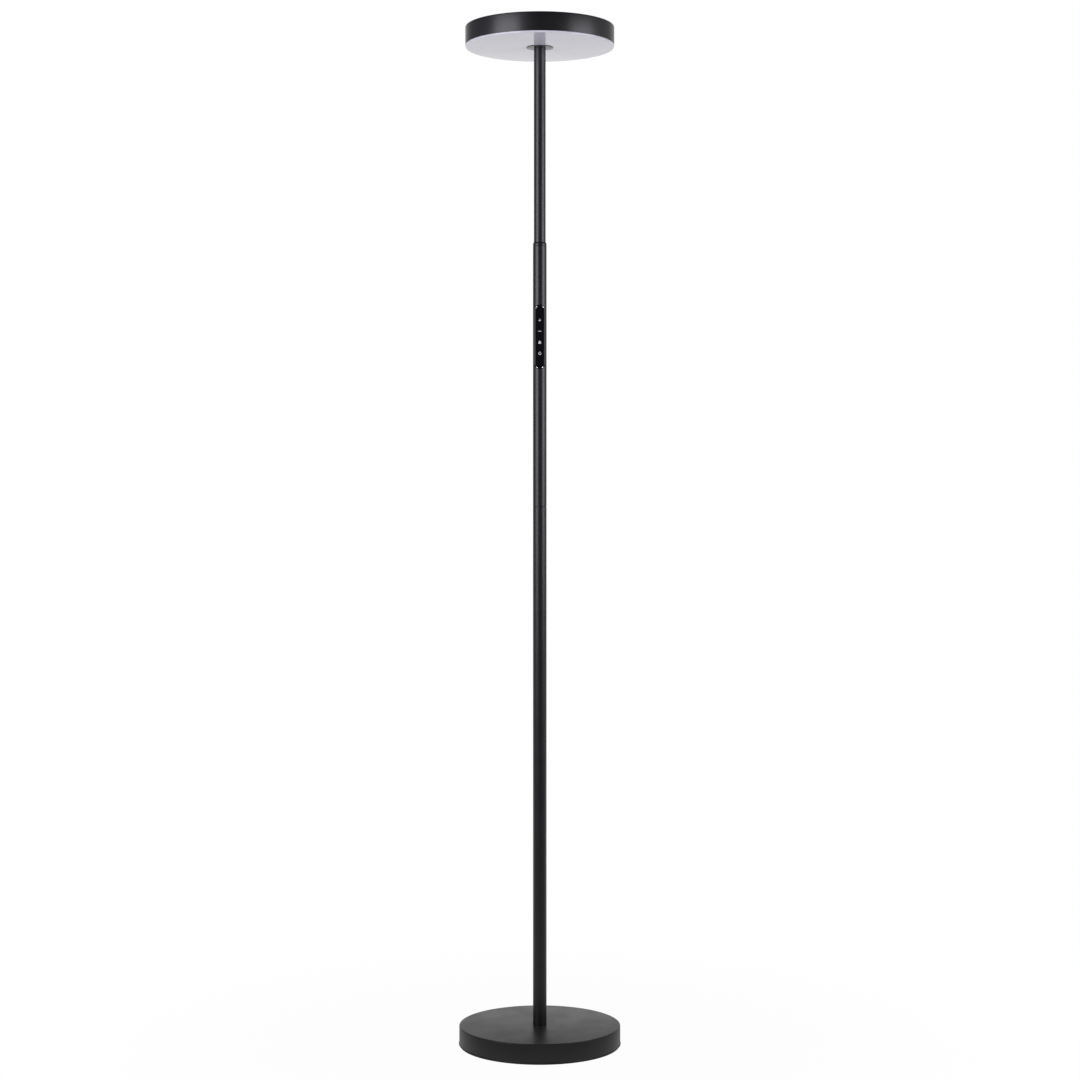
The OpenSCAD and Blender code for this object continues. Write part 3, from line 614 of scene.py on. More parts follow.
def solid(name, points, faces):
    mesh = bpy.data.meshes.new(name)
    mesh.from_pydata([tuple(point) for point in points], [], faces)
    tidy(mesh)
    return add_object(name, mesh)


def turned(name, corners, sides=SIDES):
    """Turns a closed half section of (radius, height) corners round the Z axis."""
    section = rounded(corners)
    count = len(section)
    points = []
    faces = []
    for side in range(sides):
        turn = math.tau * side / sides
        points += [(reach * math.cos(turn), reach * math.sin(turn), height) for reach, height in section]
        here = side * count
        there = (side + 1) % sides * count
        for i in range(count):
            j = (i + 1) % count
            faces.append((here + i, there + i, there + j, here + j))
    return solid(name, points, faces)


def ring(name, inner, outer, low, high, edges=(0, 0, 0, 0), sides=SIDES):
    """Turned ring. Edges are its corners' radii in mm, from the inner one at the bottom, anticlockwise."""
    corners = ((inner, low), (outer, low), (outer, high), (inner, high))
    return turned(name, [at + (edge * MM,) if edge else at for at, edge in zip(corners, edges)], sides)


def cylinder(name, radius, low, high, sides=SIDES):
    return ring(name, 0, radius, low, high, sides=sides)


print("lathe ready,", SIDES, "sides unless a piece asks for others")

# %% [markdown]
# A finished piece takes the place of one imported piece. It moves with the same body, takes its finish from the
# same slot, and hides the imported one. One short function does all of that and reports the piece.

# %% Put a piece in place of a packed one
made = []


def stands_for(piece, node):
    body = body_of[node]
    cover_with(piece, slot_of[node])
    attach(piece, body)
    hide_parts(node)
    made.append(piece)
    faces = sum(len(face.vertices) - 2 for face in piece.data.polygons)
    print(f"{piece.name}: {faces} triangles on {body}")


def settle(piece):
    """Turns a piece's modifiers into its own plain mesh."""
    graph = bpy.context.evaluated_depsgraph_get()
    mesh = bpy.data.meshes.new_from_object(piece.evaluated_get(graph), depsgraph=graph)
    piece.modifiers.clear()
    piece.data = mesh


def carve(piece, tool, operation="DIFFERENCE"):
    """Cuts a tool out of a piece, joins it on, or keeps what both share. The tool is used up."""
    modifier = piece.modifiers.new("carve", "BOOLEAN")
    modifier.operation = operation
    modifier.solver = "EXACT"
    modifier.object = tool
    bpy.context.view_layer.update()
    settle(piece)
    bpy.data.objects.remove(tool)
    shade_by_angle(piece.data)


def moved(piece, matrix):
    piece.data.transform(matrix)
    return piece


print(len(frame["nodes"]), "packed pieces can be replaced")

# %% [markdown]
# ## The base
# The base cover is pressed from steel sheet: a flat top, a rounded shoulder, a straight wall and a small curl
# at the bottom that stiffens the rim. It is turned from one section and then gets the hole for the cord at
# its back. The curl is the little step that shows at both ends of the base.

# %% Base cover
SHEET = 1.2 * MM
CURL = 0.8 * MM
CURL_HEIGHT = 1.6 * MM
SHOULDER_RADIUS = 1.5 * MM
THREAD_CLEARANCE = 0.02 * MM

curl_radius, cover_bottom, cover_top = measured("base_cover")
cover_radius = curl_radius - CURL
cover_inside = cover_radius - SHEET
stud_hole = measured("pole_stud")[0] + THREAD_CLEARANCE
cover = turned("base_cover_shell", [
    (cover_inside, cover_bottom),
    (curl_radius, cover_bottom, 0.5 * MM),
    (curl_radius, cover_bottom + CURL_HEIGHT / 2, 0.25 * MM),
    (cover_radius, cover_bottom + CURL_HEIGHT, 0.5 * MM),
    (cover_radius, cover_top, SHOULDER_RADIUS),
    (stud_hole, cover_top),
    (stud_hole, cover_top - SHEET),
    (cover_inside, cover_top - SHEET, SHOULDER_RADIUS - SHEET),
], WIDE_SIDES)
print("base cover turned, wall radius", round(cover_radius, 4))

# %% [markdown]
# The cord comes in through a rubber grommet with a flange outside and another inside the sheet. Both flanges
# hug the round wall, so they are trimmed with a cylinder of the cover's radius. The cover has a hole for the
# grommet's neck. No cord is fitted: the grommet's bore is open.

# %% Cord grommet
CORD_BORE = 3.1 * MM
FLANGE_WIDTH = 1.7 * MM
INNER_FLANGE = 2.5 * MM
CORD_SIDES = 96
HOLE_REACH = 3 * MM
# A tool reaches this far beyond what it cuts, and so does a piece into what it is joined to.
OVERLAP = 1 * MM
NECK_OVERLAP = 0.4 * MM
OUTER_EDGES = (0, 0, 0.4, 0.3)
INNER_EDGES = (0.4, 0.6, 0, 0)

grommet_low, grommet_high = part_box("cord_grommet")
flange_radius = (grommet_high.z - grommet_low.z) / 2
neck = flange_radius - FLANGE_WIDTH
inlet_height = (grommet_low.z + grommet_high.z) / 2
to_back = Matrix.Translation((0, 0, inlet_height)) @ Matrix.Rotation(math.radians(-90), 4, "X")


def cord_side(name, *sizes):
    return moved(ring(name, *sizes, sides=CORD_SIDES), to_back)


hole_ends = (cover_inside - HOLE_REACH, curl_radius + HOLE_REACH)
carve(cover, cord_side("hole", 0, neck + THREAD_CLEARANCE, *hole_ends))
stands_for(cover, "base_cover")

outer_ends = (cover_radius - OVERLAP, grommet_high.y)
grommet = cord_side("grommet", CORD_BORE, flange_radius, *outer_ends, OUTER_EDGES)
carve(grommet, cylinder("trim", cover_radius + THREAD_CLEARANCE, 0, cover_top, WIDE_SIDES))
inner_ends = (cover_inside - INNER_FLANGE, cover_inside)
inner_flange = cord_side("inner_flange", CORD_BORE, flange_radius, *inner_ends, INNER_EDGES)
inner_trim = cylinder("trim", cover_inside - THREAD_CLEARANCE, 0, cover_top, WIDE_SIDES)
carve(inner_flange, inner_trim, "INTERSECT")
throat = cord_side("throat", CORD_BORE, neck, cover_inside - OVERLAP, cover_radius + NECK_OVERLAP)
carve(grommet, throat, "UNION")
carve(grommet, inner_flange, "UNION")
grommet.name = "grommet_rubber"
stands_for(grommet, "cord_grommet")

# %% [markdown]
# The foam pad under the base is a soft disc. Its edge bulges slightly, and it sits a little back from the
# cover, which makes the thin dark line along the floor. It is a padded piece, firm and full.

# %% Foam pad
PAD_EDGES = (0, 0.7, 0.7, 0)

pad = ring("foam_pad", 0, *measured("base_pad"), PAD_EDGES)
stands_for(pad, "base_pad")

# %% [markdown]
# ## The pole
# All four tubes follow one rule: a thin wall section goes round the axis, and its ends have a small radius
# where the cut was polished. That rule is a Geometry Nodes tree with the sizes as named inputs: a rectangle
# with filleted corners is the section, a circle is the path, and Curve to Mesh joins them. Where two tubes
# meet, their two rounded ends make the fine seam line that shows on the pole.


# %% Tree for a tube
def new_geometry_tree(name, inputs):
    """Modifier tree with named inputs and a finish. Returns it with its inputs and its output."""
    tree = bpy.data.node_groups.new(name, "GeometryNodeTree")
    tree.is_modifier = True
    add_sockets(tree, "OUTPUT", {"Geometry": "Geometry"})
    add_sockets(tree, "INPUT", {**inputs, "Finish": "Material"})
    return tree, tree.nodes.new("NodeGroupInput").outputs, tree.nodes.new("NodeGroupOutput").inputs[0]


def end_tree(tree, geometry, finish, output):
    """Every tree ends in real geometry with its finish on it."""
    real = output_of(tree, "GeometryNodeRealizeInstances", Geometry=geometry)
    covered = output_of(tree, "GeometryNodeSetMaterial", Geometry=real, Material=finish)
    tree.links.new(covered, output)


def make_tube_tree():
    inputs = dict.fromkeys(("Foot height", "Top height", "Outer radius", "Wall", "Edge radius"), "Float")
    tree, given, output = new_geometry_tree("pole_tube", {**inputs, "Sides": "Int"})
    foot, top, wall = given["Foot height"], given["Top height"], given["Wall"]
    length = math_node(tree, "SUBTRACT", top, foot)
    middle = math_node(tree, "MULTIPLY", math_node(tree, "ADD", top, foot), 0.5)
    path_radius = math_node(tree, "MULTIPLY_ADD", wall, -0.5, given["Outer radius"])
    section = output_of(tree, "GeometryNodeCurvePrimitiveQuadrilateral", Width=wall, Height=length)
    soft = output_of(tree, "GeometryNodeFilletCurve", Curve=section, Radius=given["Edge radius"])
    path = output_of(tree, "GeometryNodeCurvePrimitiveCircle", Resolution=given["Sides"], Radius=path_radius)
    swept = output_of(tree, "GeometryNodeCurveToMesh", Curve=path, Profile_Curve=soft)
    lift = output_of(tree, "ShaderNodeCombineXYZ", Z=middle)
    standing = output_of(tree, "GeometryNodeTransform", Geometry=swept, Translation=lift)
    end_tree(tree, standing, given["Finish"], output)
    return tree


tube_tree = make_tube_tree()
print("tube tree has", len(tube_tree.nodes), "nodes")


# %% [markdown]
# A modifier's inputs are set by each socket's identifier before the object is first evaluated. The result is
# turned into a plain mesh, so nothing live is left on the piece.


# %% Run a tree
def grown(name, tree, host=None, **values):
    """Runs a geometry tree on a host mesh, or on nothing, and returns the result as a plain piece."""
    piece = add_object(name, host or bpy.data.meshes.new(name))
    modifier = piece.modifiers.new("tree", "NODES")
    modifier.node_group = tree
    for item in tree.interface.items_tree:
        label = item.name.replace(" ", "_")
        if item.in_out == "INPUT" and label in values:
            modifier[item.identifier] = values[label]
    bpy.context.view_layer.update()
    settle(piece)
    tidy(piece.data)
    return piece


print("a tree runs once and leaves a plain mesh")

# %% Pole tubes
TUBE_WALL = 1.2 * MM
UPPER_WALL = 1.1 * MM
TUBE_SIDES = 128
TUBES = (("lower", TUBE_WALL, 0.30 * MM), ("middle", TUBE_WALL, 0.35 * MM), ("upper", UPPER_WALL, 0.25 * MM))
CONTROL_EDGE = 0.45 * MM


def tube(section, wall, edge):
    """Tube of one section of the pole. Edge is the radius of its ends."""
    node = section + "_tube"
    radius, foot, top = measured(node)
    ends = {"Foot_height": foot, "Top_height": top, "Edge_radius": edge}
    shape = {"Outer_radius": radius, "Wall": wall, "Sides": TUBE_SIDES}
    return grown(section + "_pole", tube_tree, Finish=finishes[slot_of[node]], **ends, **shape)


for section, wall, edge in TUBES:
    stands_for(tube(section, wall, edge), section + "_tube")
control_pole = tube("control", TUBE_WALL, CONTROL_EDGE)
print("control tube", [round(edge, 4) for edge in control_pole.bound_box[6]])

# %% [markdown]
# The step collar covers the change from the wide tube to the thin one. It has a straight part, a soft
# shoulder and a short cone up to the thin tube.

# %% Step collar
COLLAR_RIM = 0.4 * MM
COLLAR_SLOPE = 3 * MM

collar_radius, collar_bottom, collar_top = measured("step_collar")
thin_radius = measured("upper_tube")[0]
collar_bore = thin_radius + THREAD_CLEARANCE
collar = turned("collar", [
    (collar_bore, collar_bottom),
    (collar_radius, collar_bottom, 0.5 * MM),
    (collar_radius, collar_top - COLLAR_SLOPE, 1 * MM),
    (thin_radius + COLLAR_RIM, collar_top, 0.15 * MM),
    (collar_bore, collar_top),
], TUBE_SIDES)
stands_for(collar, "step_collar")

# %% [markdown]
# ## The touch panel
# The panel's pieces all have straight sides and round ends. Their outline is a stadium: two half circles
# joined by straight lines. A solid is stacked up from such outlines, each with its own inset and its own
# distance from the pole's axis, so a bevel or a pocket is only one more level in the list.

# %% Stack stadium outlines
END_STEPS = 24

panel_low, panel_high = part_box("panel_frame")
panel_middle = (panel_low.z + panel_high.z) / 2
face_front = -panel_low.y
to_panel = Matrix.Translation((0, 0, panel_middle)) @ Matrix.Rotation(math.radians(90), 4, "X")


def stadium(width, length):
    """Points round a flat shape with round ends, which stands along Y."""
    points = []
    for end in (0, 1):
        centre = Vector((0, (length - width) / 2 * (1 - 2 * end)))
        turns = [math.pi * (end + step / END_STEPS) for step in range(END_STEPS + 1)]
        points += [centre + width / 2 * unit(turn) for turn in turns]
    return points


def stacked(name, outlines):
    """Solid through a list of (outline, height), closed at its first and its last outline."""
    count = len(outlines[0][0])
    points = [(x, y, height) for outline, height in outlines for x, y in outline]
    faces = [tuple(range(count))[::-1], tuple(range(len(points) - count, len(points)))]
    for level in range(len(outlines) - 1):
        here = level * count
        for i in range(count):
            j = (i + 1) % count
            faces.append((here + i, here + j, here + count + j, here + count + i))
    return solid(name, points, faces)


def pill(name, width, length, levels):
    """Stack of stadiums on the panel. A level is (inset, distance from the axis)."""
    outlines = [(stadium(width - 2 * inset, length - 2 * inset), height) for inset, height in levels]
    return moved(stacked(name, outlines), to_panel)


print("panel middle", round(panel_middle, 4), "front", round(face_front, 4))

# %% [markdown]
# The tube gets a slot with round ends, a little smaller than the panel, so the panel's rim covers its edge.

# %% Slot in the control tube
SLOT_PLAY = (0.2 * MM, 0.8 * MM)
SLOT_TOOL = 2 * MM
PLUG_PLAY = 0.1 * MM

frame_width = 2 * panel_high.x
frame_length = panel_high.z - panel_low.z
face_low, face_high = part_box("touch_face")
face_width = 2 * (face_high.x + THREAD_CLEARANCE)
face_length = face_high.z - face_low.z + 2 * THREAD_CLEARANCE
slot_width = face_width - SLOT_PLAY[0]
slot_length = face_length - SLOT_PLAY[1]
carve(control_pole, pill("slot", slot_width, slot_length, [(0, SLOT_TOOL), (0, face_front + SLOT_TOOL)]))
stands_for(control_pole, "control_tube")

# %% [markdown]
# The frame is a moulding in four steps. A thick pill with a bevelled rim and a pocket for the face is cut
# hollow with the tube's own radius, so that it sits on the round tube like a saddle. Then the plug that goes
# through the slot is joined on, with a snap hook at each end, and the wells for the springs are cut. The
# rim's polished bevel is flat enough to mirror the soft boxes, which draws the panel's outline.

# %% Panel frame
RIM_WIDTH = 1.1 * MM
RIM_BEVEL = 0.6 * MM
BEVEL_SLOPE = 0.65
RIM_INNER_BEVEL = 0.15 * MM
FRAME_BACK = 5 * MM
KEY_PITCH = 17.8 * MM
KEYS = 4

face_back = -face_high.y
tube_radius = measured("control_tube")[0]
tube_inside = tube_radius - TUBE_WALL
key_places = [(KEYS / 2 - 0.5 - key) * KEY_PITCH for key in range(KEYS)]
panel = pill("panel_moulding", frame_width, frame_length, [
    (0, FRAME_BACK),
    (0, face_front - RIM_BEVEL * BEVEL_SLOPE),
    (RIM_BEVEL, face_front),
    (RIM_WIDTH - RIM_INNER_BEVEL, face_front),
    (RIM_WIDTH, face_front - RIM_INNER_BEVEL),
    (RIM_WIDTH, face_back),
])
saddle_ends = (panel_low.z - OVERLAP, panel_high.z + OVERLAP)
carve(panel, cylinder("saddle", tube_radius + THREAD_CLEARANCE, *saddle_ends))
plug_size = (slot_width - 2 * PLUG_PLAY, slot_length - 2 * PLUG_PLAY)
carve(panel, pill("plug", *plug_size, [(0, FRAME_BACK), (0, face_back)]), "UNION")
print("frame", round(frame_width, 4), "by", round(frame_length, 4))

# %% Snap hooks, spring wells and screw holes
HOOK_WIDTH = 6 * MM
HOOK_LENGTH = 4.5 * MM
HOOK_THICKNESS = 2 * MM
HOOK_IN = 3 * MM
HOOK_PLAY = 0.15 * MM
WELL_RADIUS = 2.95 * MM
WELL_OVERLAP = 0.3 * MM
WELL_SIDES = 48
SCREW_HOLE = 1 * MM
SCREW_HOLE_DEPTH = 4 * MM
SCREW_HOLE_SIDES = 24
BOARD_SCREW_PLACE = 34 * MM


def rectangle(x, y):
    """Corners of a rectangle between two distances on each axis."""
    return [Vector(corner) for corner in ((x[0], y[0]), (x[1], y[0]), (x[1], y[1]), (x[0], y[1]))]


def spread(reach):
    return (-reach, reach)


def block(name, x, y, z):
    """Box between two distances on each axis."""
    return stacked(name, [(rectangle(x, y), z[0]), (rectangle(x, y), z[1])])


def cut_hole(name, radius, depth_to, place, sides):
    """Cuts a round hole into the back of the frame, at a place along the panel."""
    tool = cylinder(name, radius, FRAME_BACK - OVERLAP, depth_to, sides)
    carve(panel, moved(tool, to_panel @ Matrix.Translation((0, place, 0))))


hook_top = math.sqrt(tube_inside**2 - (HOOK_WIDTH / 2) ** 2) - HOOK_PLAY
hook_start = slot_length / 2 - HOOK_IN
for end in (1, -1):
    reach = sorted((end * hook_start, end * (hook_start + HOOK_LENGTH)))
    hook = block("hook", spread(HOOK_WIDTH / 2), reach, (hook_top - HOOK_THICKNESS, hook_top))
    carve(panel, moved(hook, to_panel), "UNION")
for place in key_places:
    cut_hole("well", WELL_RADIUS, face_back + WELL_OVERLAP, place, WELL_SIDES)
for place in (BOARD_SCREW_PLACE, -BOARD_SCREW_PLACE):
    cut_hole("screw_hole", SCREW_HOLE, FRAME_BACK + SCREW_HOLE_DEPTH, place, SCREW_HOLE_SIDES)
stands_for(panel, "panel_frame")

# %% [markdown]
# The touch symbols are outlines by simple rules: a plus, a bar, a lamp shade and a power ring with its
# stroke. Each is a thin inlay, and the same outline, made deeper, cuts its pocket in the face.

# %% Symbol outlines
SYMBOL = 4.7 * MM
STROKE = 1 * MM
INK = 0.15 * MM
PLUS_SIZE = 0.85
SHADE_TOP = 0.55
RING_GAP = 1.1
STROKE_START = 0.3
RING_STEPS = 40

half_symbol = SYMBOL / 2
half_stroke = STROKE / 2


def plus_outline():
    arm = SYMBOL * PLUS_SIZE / 2
    quarter = [(half_stroke, half_stroke), (half_stroke, arm), (-half_stroke, arm)]
    turns = [Matrix.Rotation(math.radians(90 * turn), 2) for turn in range(4)]
    return [turn @ Vector(point) for turn in turns for point in quarter]


def shade_outline():
    corners = ((-1, -1), (1, -1), (SHADE_TOP, 1), (-SHADE_TOP, 1))
    return [Vector((x * half_symbol, y * half_symbol)) for x, y in corners]


def power_ring_outline():
    """Ring with a gap at its top."""
    rim = []
    for radius, way in ((half_symbol, 1), (half_symbol - STROKE, -1)):
        start = math.pi / 2 + math.asin(STROKE * RING_GAP / radius)
        sweep = math.tau - 2 * (start - math.pi / 2)
        turns = [start + sweep * step / RING_STEPS for step in range(RING_STEPS + 1)][::way]
        rim += [radius * unit(turn) for turn in turns]
    return rim


bar = rectangle(spread(half_symbol), spread(half_stroke))
stroke_low = half_symbol * STROKE_START
power_stroke = rectangle(spread(half_stroke), (stroke_low, stroke_low + half_symbol))
SYMBOLS = [[plus_outline()], [bar], [shade_outline()], [power_ring_outline(), power_stroke]]
print(len(SYMBOLS), "symbols")

# %% Touch face and symbols
FACE_BEVEL = 0.5 * MM
FACE_BEVEL_DEPTH = 0.235 * MM


def symbol_solids(name, back, front):
    solids = []
    for outlines, place in zip(SYMBOLS, key_places):
        for outline in outlines:
            lifted = [point + Vector((0, place)) for point in outline]
            solids.append(moved(stacked(name, [(lifted, back), (lifted, front)]), to_panel))
    return solids


def joined(name, pieces):
    """Joins pieces that don't touch into one."""
    shape = bmesh.new()
    for piece in pieces:
        shape.from_mesh(piece.data)
        bpy.data.objects.remove(piece)
    mesh = bpy.data.meshes.new(name)
    shape.to_mesh(mesh)
    shape.free()
    shade_by_angle(mesh)
    return add_object(name, mesh)


face_size = (face_width - 2 * THREAD_CLEARANCE, face_length - 2 * THREAD_CLEARANCE)
face_levels = [(0, face_back), (0, face_front - FACE_BEVEL_DEPTH), (FACE_BEVEL, face_front)]
face = pill("touch_plate", *face_size, face_levels)
for pocket in symbol_solids("pocket", face_front - INK, face_front + OVERLAP):
    carve(face, pocket)
stands_for(face, "touch_face")
stands_for(joined("touch_symbols", symbol_solids("symbol", face_front - INK, face_front)), "key_symbols")

# %% [markdown]
# On a real panel the bevel at the face's round ends catches the light in four short bright arcs. The bevel
# mirrors what stands well to the side, above at the upper end and below at the lower end. So four small lamps
# go there. They are linked to the panel alone, because their only job is this gleam, and the rest of the lamp
# would show them as extra streaks.

# %% Light the panel's bevel
GLEAM_DISTANCE = 1.2
GLEAM_SIZE = 0.34
GLEAM_RADIANCE = 61
# Degrees to the side and up.
GLEAMS = {"upper": (43, 35), "lower": (36, -38)}


def lit_only(name, pieces):
    """Collection of the pieces that a lamp is linked to."""
    targets = bpy.data.collections.new(name)
    for piece in pieces:
        targets.objects.link(piece)
    return targets


def round_lamp(name, azimuth, elevation, distance, aim_height, size, radiance, targets):
    """Round lamp that shines on the targets alone, from a direction seen from a point on the pole's axis."""
    held, lamp = area_lamp(name, "DISK", size)
    lamp.energy = radiance * math.pi * math.pi * (size / 2) ** 2
    turn = math.radians(azimuth)
    rise = math.radians(elevation)
    away = Vector((math.sin(turn) * math.cos(rise), -math.cos(turn) * math.cos(rise), math.sin(rise)))
    held.location = away * distance + Vector((0, 0, aim_height))
    held.rotation_euler = away.to_track_quat("Z", "Y").to_euler()
    held.light_linking.receiver_collection = targets
    return held


polished_panel = lit_only("polished_panel", [panel, face])
for side, way in (("left", -1), ("right", 1)):
    for level, (azimuth, elevation) in GLEAMS.items():
        place = (way * azimuth, elevation, GLEAM_DISTANCE, panel_middle)
        gleam = round_lamp(f"{side}_{level}_gleam", *place, GLEAM_SIZE, GLEAM_RADIANCE, polished_panel)
        gleam.visible_diffuse = False
print("four lamps light the panel's bevel")

# %% [markdown]
# ## The head
# The ring is one spun piece: an outer wall with a round top edge, a lip turned inwards over the upper
# diffuser, and a ledge inside that carries the light boards. The lip and the wall run into each other in one
# curve.

# %% Head ring
RING_WALL = 1.5 * MM
LIP_WIDTH = 5 * MM
LEDGE_HEIGHT = 3 * MM
LEDGE_WIDTH = 9.5 * MM
LEDGE_EDGE = 0.3 * MM

head_radius, ring_bottom, ring_top = measured("head_ring")
ledge_top, carrier_top = measured("light_carrier")[1:]
ring_inside = head_radius - RING_WALL
ledge_inside = ring_inside - LEDGE_WIDTH
ledge_bottom = ledge_top - LEDGE_HEIGHT
head_ring = turned("spun_ring", [
    (ring_inside, ring_bottom, 0.2 * MM),
    (head_radius, ring_bottom, 0.5 * MM),
    (head_radius, ring_top, 2 * MM),
    (head_radius - LIP_WIDTH, ring_top, 0.6 * MM),
    (head_radius - LIP_WIDTH, ring_top - RING_WALL, 0.4 * MM),
    (ring_inside, ring_top - RING_WALL, 0.5 * MM),
    (ring_inside, ledge_top, LEDGE_EDGE),
    (ledge_inside, ledge_top, LEDGE_EDGE),
    (ledge_inside, ledge_bottom, LEDGE_EDGE),
    (ring_inside, ledge_bottom, LEDGE_EDGE),
], WIDE_SIDES)
print("head ring turned, radius", round(head_radius, 4))

# %% [markdown]
# The ledge is drilled and tapped for the six carrier screws. The same angles and radius place the screws
# further down.

# %% Holes in the ledge
CARRIER_SCREWS = 6
SMALL_SCREW = 1.5 * MM
SMALL_HEAD = 2.7 * MM
SMALL_HEAD_HEIGHT = 1.6 * MM
SCREW_SIDES = 32

carrier_screw_circle = measured("carrier_screws")[0] - SMALL_HEAD
for screw in range(CARRIER_SCREWS):
    tap = cylinder("tap", SMALL_SCREW, ledge_bottom - OVERLAP, ledge_top + OVERLAP, SCREW_SIDES)
    turn = Matrix.Rotation(math.tau * screw / CARRIER_SCREWS, 4, "Z")
    carve(head_ring, moved(tap, turn @ Matrix.Translation((carrier_screw_circle, 0, 0))))
stands_for(head_ring, "head_ring")

# %% [markdown]
# The lower diffuser is a disc that stands slightly proud of the ring, with a skirt that reaches up inside it.
# The upper one is a shallow dish turned upside down under the lip. Both are moulded, so their edges are soft.

# %% Diffusers
DIFFUSER_WALL = 2 * MM
SKIRT_PLAY = 0.2 * MM

disc_radius, disc_bottom, skirt_top = measured("lower_diffuser")
skirt_radius = ring_inside - SKIRT_PLAY
skirt_inside = skirt_radius - DIFFUSER_WALL
lower_diffuser = turned("lower_opal", [
    (stud_hole, disc_bottom),
    (disc_radius, disc_bottom, 0.8 * MM),
    (disc_radius, ring_bottom, 0.2 * MM),
    (skirt_radius, ring_bottom, 0.1 * MM),
    (skirt_radius, skirt_top, 0.3 * MM),
    (skirt_inside, skirt_top, 0.3 * MM),
    (skirt_inside, ring_bottom, 0.8 * MM),
    (stud_hole, ring_bottom),
], WIDE_SIDES)
stands_for(lower_diffuser, "lower_diffuser")

dish_radius, dish_bottom, dish_top = measured("upper_diffuser")
dish_inside = dish_radius - DIFFUSER_WALL
upper_diffuser = turned("upper_opal", [
    (0, dish_top),
    (dish_radius, dish_top, 0.5 * MM),
    (dish_radius, dish_bottom, 0.3 * MM),
    (dish_inside, dish_bottom, 0.3 * MM),
    (dish_inside, dish_top - DIFFUSER_WALL, 0.8 * MM),
    (0, dish_top - DIFFUSER_WALL),
], WIDE_SIDES)
stands_for(upper_diffuser, "upper_diffuser")

# %% [markdown]
# The room is dark above, for the sake of the black paint, so the upper diffuser would look grey. A wide lamp
# overhead lights it as brightly as the lower one. That lamp is linked to the diffuser alone and isn't
# mirrored in it.

# %% Light the upper diffuser
OVERHEAD_DISTANCE = 1.0
OVERHEAD_SIZE = 0.8
OVERHEAD_RADIANCE = 4.2

place = (0, 90, OVERHEAD_DISTANCE, dish_top)
open_top = lit_only("open_top", [upper_diffuser])
overhead = round_lamp("overhead_lamp", *place, OVERHEAD_SIZE, OVERHEAD_RADIANCE, open_top)
overhead.visible_glossy = False
print("the upper diffuser is lit from above")

# %% [markdown]
# A round plate under the diffuser clamps the head on the pole. Its lower edge is broken with a small radius.

# %% Mount plate
PLATE_EDGES = (0, 0.4, 0.2, 0)

plate = ring("head_plate", stud_hole, *measured("mount_plate"), PLATE_EDGES, TUBE_SIDES)
stands_for(plate, "mount_plate")

# %% [markdown]
# ## Pieces that repeat
# Screws, light chips and springs repeat, so each kind is modelled once and a Geometry Nodes tree sets it out.
# The first tree puts its host mesh round a circle, turned to face outwards each time. It serves the screws in
# the bottom plate, the carrier and the light boards, and the light chips too.


# %% Tree for pieces round a circle
def make_circle_tree():
    lengths = dict.fromkeys(("Circle radius", "Start angle", "Height"), "Float")
    inputs = {"Piece": "Geometry", "Count": "Int", **lengths}
    tree, given, output = new_geometry_tree("pieces_round_a_circle", inputs)
    steps = output_of(tree, "GeometryNodeMeshLine", Count=given["Count"])
    number = output_of(tree, "GeometryNodeInputIndex")
    step_angle = math_node(tree, "DIVIDE", math.tau, given["Count"])
    turn = math_node(tree, "MULTIPLY_ADD", number, step_angle, given["Start angle"])
    x = math_node(tree, "MULTIPLY", math_node(tree, "COSINE", turn), given["Circle radius"])
    y = math_node(tree, "MULTIPLY", math_node(tree, "SINE", turn), given["Circle radius"])
    spot = output_of(tree, "ShaderNodeCombineXYZ", X=x, Y=y, Z=given["Height"])
    spots = output_of(tree, "GeometryNodeSetPosition", Geometry=steps, Position=spot)
    facing = output_of(tree, "ShaderNodeCombineXYZ", Z=turn)
    rotation = output_of(tree, "FunctionNodeEulerToRotation", Euler=facing)
    copies = {"Points": spots, "Instance": given["Piece"], "Rotation": rotation}
    placed = output_of(tree, "GeometryNodeInstanceOnPoints", **copies)
    end_tree(tree, placed, given["Finish"], output)
    return tree


circle_tree = make_circle_tree()
print("circle tree has", len(circle_tree.nodes), "nodes")


def round_circle(name, host, count, circle, start, height, slot="screw_steel"):
    lengths = {"Circle_radius": circle, "Start_angle": start, "Height": height}
    return grown(name, circle_tree, host, Count=count, Finish=finishes[slot], **lengths)


# %% [markdown]
# A screw is turned like the rest and gets a cross recess. The carrier screws have a round head, and the
# bottom plate's screws are countersunk and point upwards.

# %% Screws
RECESS_REACH = 0.62
RECESS_WIDTH = 0.22
RECESS_DEPTH = 0.55
HEAD_ROUNDING = 0.7
NUT_HEIGHT = 0.6
NUT_SIDES = 6
CARRIER_SCREW_LENGTH = 5 * MM

small_shank = SMALL_SCREW - THREAD_CLEARANCE


def cut_cross(screw, top, reach, depth):
    """Cuts a cross recess into the end face of a screw."""
    for turn in (0, 90):
        slot = block("recess", spread(reach), spread(reach * RECESS_WIDTH), (top - depth, top + depth))
        carve(screw, moved(slot, Matrix.Rotation(math.radians(turn), 4, "Z")))


def taken(piece):
    """The mesh of a piece whose object is no longer needed."""
    mesh = piece.data
    bpy.data.objects.remove(piece)
    return mesh


